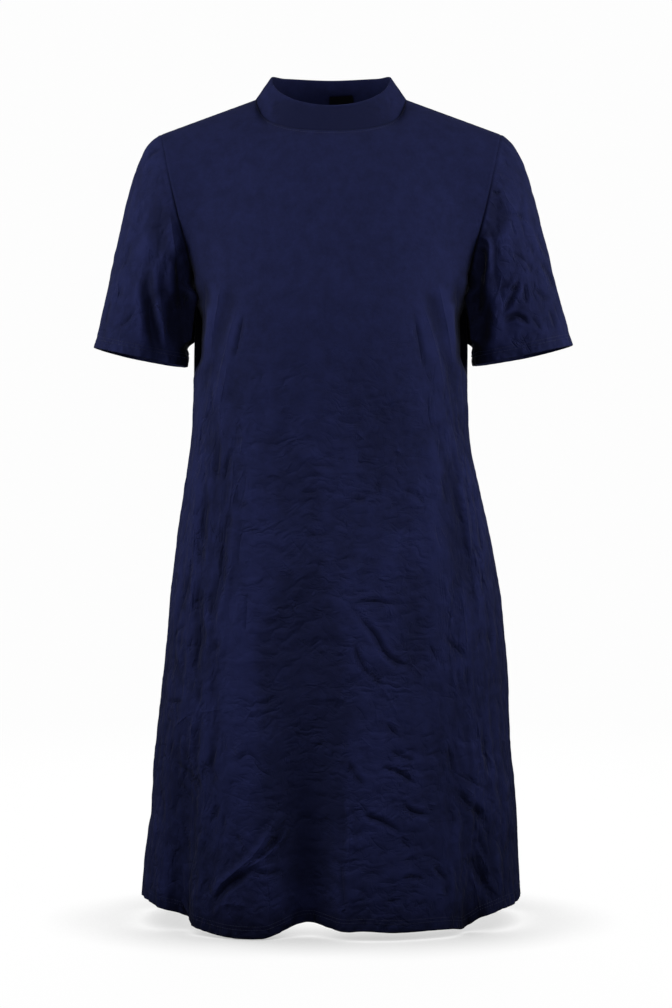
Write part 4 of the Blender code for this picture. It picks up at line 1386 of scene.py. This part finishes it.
def stitch_rows(name, lines, pitch, material):
    """Copy the stitch along the lines and join the copies into one piece."""
    template, template_faces = stitch_shape()
    points, faces = [], []
    for line, ways, closed in lines:
        if closed:
            line, ways = np.concatenate([line, line[:1]]), np.concatenate([ways, ways[:1]])
        run = np.concatenate([[0], np.cumsum(np.linalg.norm(np.diff(line, axis=0), axis=1))])
        count = int(run[-1] / pitch)
        for place in (np.arange(count) + 0.5) * run[-1] / count:
            at, up = read_line(run, line, place), read_line(run, ways, place)
            along = read_line(run, line, place + MM) - read_line(run, line, place - MM)
            along /= np.linalg.norm(along)
            up = up - along * (up @ along)
            up /= np.linalg.norm(up)
            turn = np.array([along, np.cross(up, along), up])
            start = len(points) * len(template)
            points.append(template @ turn + at - up * STITCH_SINK)
            faces += [tuple(corner + start for corner in face) for face in template_faces]
    points = np.concatenate(points)
    piece = mesh_object(name, points, faces, np.zeros((len(points), 2)), {})
    piece.data.materials.append(material)
    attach(piece, "root")
    return piece


class DRESS_OT_stitches(bpy.types.Operator):
    """Sew the twin-needle rows of the hems and the topstitching of the neck"""

    bl_idname = "dress.stitches"
    bl_label = "Stitching"

    def execute(self, context):
        settings = context.scene.dress_settings
        thread = thread_material()
        rows = (settings.hem_stitch, settings.hem_stitch + settings.needle_gap)
        hem = [(*line_on(name, row, True), False)
               for name in ("front_cloth", "back_cloth") for row in rows]
        stitch_rows("hem_stitches", hem, settings.stitch_pitch, thread)
        for side in ("left", "right"):
            lines = [(*line_on(f"sleeve_{side}_cloth", row, True), True) for row in rows]
            stitch_rows(f"sleeve_{side}_stitches", lines, settings.stitch_pitch, thread)
        neck = []
        for name in ("front_cloth", "back_cloth"):
            line, ways = line_on(name, settings.neck_stitch, False)
            quarter = len(line) // 4
            neck.append((line[quarter + 2:-quarter - 2], ways[quarter + 2:-quarter - 2], False))
        stitch_rows("neck_stitches", neck, settings.stitch_pitch, thread)
        return {"FINISHED"}


# ---------------------------------------------------------------- materials
def linear(code):
    """Turn an sRGB hex colour into the linear values that Blender's sockets hold."""
    parts = [int(code[place:place + 2], 16) / 255 for place in (1, 3, 5)]
    return (*(part / 12.92 if part <= 0.04045 else ((part + 0.055) / 1.055) ** 2.4 for part in parts), 1)


class Surface:
    """A material and short ways to add nodes to it; a socket is given as (node, output)."""

    def __init__(self, name, values):
        self.material = bpy.data.materials.new(name)
        self.material.use_nodes = True
        self.tree = self.material.node_tree
        self.shader = self.tree.nodes["Principled BSDF"]
        for key, value in values.items():
            self.shader.inputs[key].default_value = value

    def add(self, kind, *parts, **settings):
        """Add a node.  Parts go to its inputs in order, and settings to the inputs or properties that
        they name."""
        node = self.tree.nodes.new(kind)
        for key, value in [*settings.items(), *enumerate(parts)]:
            if isinstance(key, str) and hasattr(node, key):
                setattr(node, key, value)
            elif isinstance(value, tuple) and isinstance(value[0], bpy.types.Node):
                self.tree.links.new(value[0].outputs[value[1]], node.inputs[key])
            elif value is not None:
                node.inputs[key].default_value = value
        return node

    def combine(self, operation, *parts):
        """Work out a number."""
        return (self.add("ShaderNodeMath", *parts, operation=operation), "Value")

    def combine_vectors(self, operation, *parts):
        """Work out a vector or a colour."""
        return (self.add("ShaderNodeVectorMath", *parts, operation=operation), "Vector")

    def read(self, attribute):
        """An attribute of the mesh."""
        return (self.add("ShaderNodeAttribute", attribute_name=attribute), "Fac")

    def cloth_map(self):
        """Place on the cloth, in metres."""
        return (self.add("ShaderNodeUVMap", uv_map="cloth_map"), "UV")

    def noise(self, scale, detail, **more):
        """Noise in the object's own space."""
        place = (self.add("ShaderNodeTexCoord"), "Object")
        return (self.add("ShaderNodeTexNoise", Vector=place, Scale=scale, Detail=detail, **more), "Fac")

    def bands(self, way, spacing, **more):
        """Bands across the cloth map that lie one spacing apart, in metres."""
        scale = 2 * math.pi / 20 / spacing
        return (self.add("ShaderNodeTexWave", wave_type="BANDS", bands_direction=way,
                         Vector=self.cloth_map(), Scale=scale, **more), "Fac")

    def ramp(self, source, dark, light, ends=(0.0, 1.0)):
        """Colours from dark to light, where the source runs from one end to the other."""
        node = self.add("ShaderNodeValToRGB", source)
        for element, code, position in zip(node.color_ramp.elements, (dark, light), ends):
            element.position = position
            element.color = linear(code)
        return (node, "Color")

    def relief(self, height, distance, strength=1.0, under=None, invert=False):
        """Bumps on top of those under them."""
        return (self.add("ShaderNodeBump", Height=height, Distance=distance, Strength=strength,
                         Normal=under, invert=invert), "Normal")

    def finish(self, sockets):
        """Link nodes to the shader's own inputs."""
        for key, (node, output) in sockets.items():
            self.tree.links.new(node.outputs[output], self.shader.inputs[key])
        return self.material


def jersey_material():
    """Single jersey of cotton, brushed on its face: matte, with a soft nap that lightens at the sides, fine
    wales, paler ridges where the nap is worn, and darker creases and deep folds, which are painted shade."""
    name = "navy_brushed_cotton_jersey"
    if name in bpy.data.materials:
        return bpy.data.materials[name]
    jersey = Surface(name, {"Roughness": 0.88, "Specular IOR Level": 0.06, "Sheen Weight": 0.07,
                            "Sheen Roughness": 0.40, "Sheen Tint": linear("#C4C8E2")})
    # uneven dye and nap, some centimetres wide
    mottle = jersey.noise(60.0, 8.0, Roughness=0.78)
    # paler on ridges, where the nap is worn, and darker in troughs and creases, which is painted shade
    shade = jersey.combine("MULTIPLY_ADD", jersey.read("rub"), 0.20, mottle)
    tint = jersey.ramp(shade, "#191D3B", "#22274F", (0.28, 0.72))
    # painted shade: the colour is darkened by ambient occlusion in deep folds and narrow gaps, where little
    # light finds its way out of such dark cloth
    painted_fold_shade = jersey.add("ShaderNodeAmbientOcclusion", samples=6, Distance=0.05)
    tint_with_painted_shade = jersey.combine_vectors("MULTIPLY", tint, jersey.combine("POWER", (painted_fold_shade, "AO"), 2.2))
    # the wales of fine jersey stand 1.1 mm apart, drawn slightly coarse so that they show close up
    uneven = {"Distortion": 0.6, "Detail": 1.0, "Detail Scale": 2.0}
    knit = jersey.combine("MULTIPLY", jersey.bands("X", 1.1 * MM, **uneven),
                          jersey.bands("Y", 0.9 * MM, **uneven))
    nap = jersey.noise(700.0, 4.0, Roughness=0.75)
    face = jersey.combine("MULTIPLY_ADD", knit, 0.4, nap)
    # the sharp line along the middle of a crease, finer than the mesh holds
    from_line = jersey.combine("ABSOLUTE", jersey.read("line_beside"))
    groove = jersey.combine("EXPONENT", jersey.combine("MULTIPLY", from_line, -1 / LINE_WIDTH))
    lined = jersey.relief(jersey.combine("MULTIPLY", groove, jersey.read("line_depth")), MM, invert=True)
    # crinkles as fine as the sharp lines: level ones over the body, upright ones down its sides
    cloth = jersey.cloth_map()
    aside = (jersey.add("ShaderNodeCombineXYZ", jersey.read("lean")), "Vector")
    bend, _ = jersey.noise(42.0, 2.0)
    nets = []
    for on, across, up, height in ((cloth, 25.0, 14.0, 1.25),
                                   (jersey.combine_vectors("ADD", cloth, aside), 13.0, 40.0, 1.5)):
        spread = jersey.add("ShaderNodeMapping", Vector=on, Scale=(1 / (across * MM), 1 / (up * MM), 1.0))
        bent = jersey.combine_vectors("MULTIPLY_ADD", (bend, "Color"), (1.6, 1.6, 0), (spread, "Vector"))
        folded = jersey.add("ShaderNodeTexNoise", noise_type="RIDGED_MULTIFRACTAL", normalize=True,
                            Vector=bent, Scale=0.8, Detail=2.0, Roughness=0.5, Lacunarity=2.3,
                            Offset=1.0, Gain=1.4)
        nets.append(jersey.combine("MULTIPLY", (folded, "Fac"), height))
    net = (jersey.add("ShaderNodeMix", jersey.read("upright"), None, *nets, data_type="FLOAT"), "Result")
    patch = (jersey.add("ShaderNodeMapRange", jersey.noise(26.0, 2.0), 0.38, 0.60, 0.3, 1.2), "Result")
    where = jersey.combine("MULTIPLY", patch, jersey.read("crinkle"))
    creased = jersey.relief(jersey.combine("MULTIPLY", net, where), 0.9 * MM, under=lined, invert=True)
    woven = jersey.relief(face, 0.24 * MM, 0.5, under=creased)
    return jersey.finish({"Base Color": tint_with_painted_shade, "Normal": woven})


def thread_material():
    """Polyester sewing thread dyed to match: a little smoother and paler than the brushed cloth."""
    thread = Surface("navy_polyester_thread", {"Roughness": 0.55, "Specular IOR Level": 0.4})
    ply = thread.noise(1500.0, 2.0)
    return thread.finish({"Base Color": thread.ramp(ply, "#131938", "#1F2750"),
                          "Normal": thread.relief(ply, 0.1 * MM, 0.4)})


def label_material():
    """Woven polyester tape, dark and matte, with its threads crossing at right angles.  Its colour is
    near black, partly the tape's own dark colour and partly painted shade from inside the collar.
    """
    tape = Surface("dark_woven_polyester_tape", {"Roughness": 0.8, "Specular IOR Level": 0.1})
    weave = tape.combine("MULTIPLY", tape.bands("X", 0.6 * MM), tape.bands("Y", 0.45 * MM))
    # near black: the tape's own dark colour, darkened further as painted shade inside the collar
    return tape.finish({"Base Color": tape.ramp(weave, "#05060B", "#0A0C17"),
                        "Normal": tape.relief(weave, 0.1 * MM, 0.5)})


def paper_material():
    """Seamless studio paper.  It shines by itself so that it looks evenly white; its glow is dimmed by
    ambient occlusion where the dress is near, a painted contact shadow that stays pale."""
    paper = Surface("white_background_paper", {"Roughness": 0.9, "Specular IOR Level": 0.1,
                                               "Emission Color": (1, 1, 1, 1)})
    # painted contact shadow: the paper's glow is dimmed where the dress is near
    painted_contact_shadow = paper.add("ShaderNodeAmbientOcclusion", samples=8, Distance=0.13)
    return paper.finish({"Base Color": paper.ramp(paper.noise(300.0, 2.0), "#020202", "#030303"),
                         "Emission Strength": paper.combine("MULTIPLY_ADD", (painted_contact_shadow, "AO"), 0.80, 0.183)})


# ---------------------------------------------------------------- studio
CAMERA_PLACE = (0.006, -3.0, -0.484)
CAMERA_LENS = 59.52        # millimetres, on a sensor 24 mm high
SENSOR_HEIGHT = 24.0
PAPER_REACH = 8.0          # how far the paper's floor and walls lie from the dress, in metres
PAPER_BEND = 3.2           # radius of the bend between them
PAPER_HEIGHT = 9.0
PAPER_RINGS = (1.2, 2.4)   # where the flat floor is divided
PAPER_SIDES = 64
BEND_STEPS = 24

# name, place, what it faces, width and height in metres, spread in degrees
LIGHTS = (
    ("front_light", (0.0, -1.2, -0.20), (0, 0, -0.30), (0.5, 1.0), 180),
    ("back_light", (0.0, 2.4, 0.3), (0, 0, -0.45), (1.6, 1.6), 180),
    ("top_light", (0.0, -0.74, 3.0), (0, 0, -0.35), (1.4, 1.4), 180),
    ("side_light_1", (-1.38, -0.44, 0.04), (0, 0, 0.10), (0.5, 0.9), 125),
    ("side_light_3", (1.38, -0.44, 0.04), (0, 0, 0.10), (0.5, 0.9), 125),
)


def paper_sweep(floor_z, material):
    """Paper that runs over the floor and up all round the dress in one soft bend."""
    turn = np.linspace(0, math.pi / 2, BEND_STEPS + 1)
    reach = PAPER_REACH - PAPER_BEND + PAPER_BEND * np.sin(turn)
    rise = PAPER_BEND - PAPER_BEND * np.cos(turn)
    reach = np.concatenate([PAPER_RINGS, reach, [PAPER_REACH]])
    rise = np.concatenate([[0] * len(PAPER_RINGS), rise, [PAPER_HEIGHT]])
    around = np.arange(PAPER_SIDES) / PAPER_SIDES * 2 * math.pi
    points = [(0, 0, floor_z)]
    for far, high in zip(reach, rise):
        points += [(far * math.cos(way), far * math.sin(way), floor_z + high) for way in around]
    faces = [(0, 1 + place, 1 + (place + 1) % PAPER_SIDES) for place in range(PAPER_SIDES)]
    faces += quads(range(PAPER_SIDES), range(len(reach) - 1),
                   lambda place, ring: 1 + ring * PAPER_SIDES + place % PAPER_SIDES)
    mesh = bpy.data.meshes.new("paper")
    mesh.from_pydata(points, [], faces)
    mesh.shade_smooth()
    mesh.materials.append(material)
    paper = bpy.data.objects.new("paper", mesh)
    bpy.context.collection.objects.link(paper)
    # the paper throws no light back, so that the undersides of folds stay deep
    paper.visible_diffuse = False
    paper.visible_glossy = False
    paper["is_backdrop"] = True
    return paper


def soft_light(name, place, target, size, spread, watts):
    """A soft, flat light that faces its target."""
    light = bpy.data.lights.new(name, "AREA")
    light.shape = "RECTANGLE"
    light.size, light.size_y = size
    light.energy = watts
    light.spread = math.radians(spread)
    lamp = bpy.data.objects.new(name, light)
    lamp.location = place
    lamp.visible_camera = False
    lamp.rotation_euler = (Vector(target) - Vector(place)).to_track_quat("-Z", "Y").to_euler()
    bpy.context.collection.objects.link(lamp)
    return lamp


class DRESS_OT_studio(bpy.types.Operator):
    """Set up the paper, the lights and the camera"""

    bl_idname = "dress.studio"
    bl_label = "Studio"

    def execute(self, context):
        scene = context.scene
        settings = scene.studio_settings
        floor_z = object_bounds()[0][2] - settings.floor_gap
        paper_sweep(floor_z, paper_material())
        for name, *placing in LIGHTS:
            soft_light(name, *placing, getattr(settings, name.split("_")[0] + "_power"))
        world = bpy.data.worlds.new("room")
        world.use_nodes = True
        air = world.node_tree.nodes["Background"]
        air.inputs["Color"].default_value = (1, 1, 1, 1)
        air.inputs["Strength"].default_value = settings.air
        scene.world = world
        scene.view_settings.view_transform = "Standard"
        camera = bpy.data.cameras.new("camera")
        camera.sensor_fit = "VERTICAL"
        camera.sensor_height = SENSOR_HEIGHT
        camera.lens = CAMERA_LENS
        eye = bpy.data.objects.new("camera", camera)
        eye.location = CAMERA_PLACE
        eye.rotation_euler = (math.pi / 2, 0, 0)
        scene.collection.objects.link(eye)
        scene.camera = eye
        return {"FINISHED"}


# ---------------------------------------------------------------- panel and registration
OPERATORS = (DRESS_OT_panels, DRESS_OT_sleeves, DRESS_OT_collar, DRESS_OT_label,
             DRESS_OT_stitches, DRESS_OT_studio)


class VIEW3D_PT_dress(bpy.types.Panel):
    """Lists the pieces of the dress and its settings"""

    bl_label = "Navy shift dress"
    bl_space_type = "VIEW_3D"
    bl_region_type = "UI"
    bl_category = "Dress"

    def draw(self, context):
        for settings in (context.scene.dress_settings, context.scene.studio_settings):
            for key in settings.bl_rna.properties.keys():
                if key not in ("rna_type", "name"):
                    self.layout.prop(settings, key)
        for operator in OPERATORS:
            self.layout.operator(operator.bl_idname)


CLASSES = (DressSettings, StudioSettings, *OPERATORS, VIEW3D_PT_dress)


def register():
    for item in CLASSES:
        bpy.utils.register_class(item)
    bpy.types.Scene.dress_settings = bpy.props.PointerProperty(type=DressSettings)
    bpy.types.Scene.studio_settings = bpy.props.PointerProperty(type=StudioSettings)


def unregister():
    del bpy.types.Scene.dress_settings
    del bpy.types.Scene.studio_settings
    for item in reversed(CLASSES):
        bpy.utils.unregister_class(item)


def main():
    register()
    bpy.ops.dress.panels()
    bpy.ops.dress.sleeves()
    bpy.ops.dress.collar()
    bpy.ops.dress.label()
    bpy.ops.dress.stitches()
    bpy.ops.dress.studio()


if __name__ == "__main__":
    main()
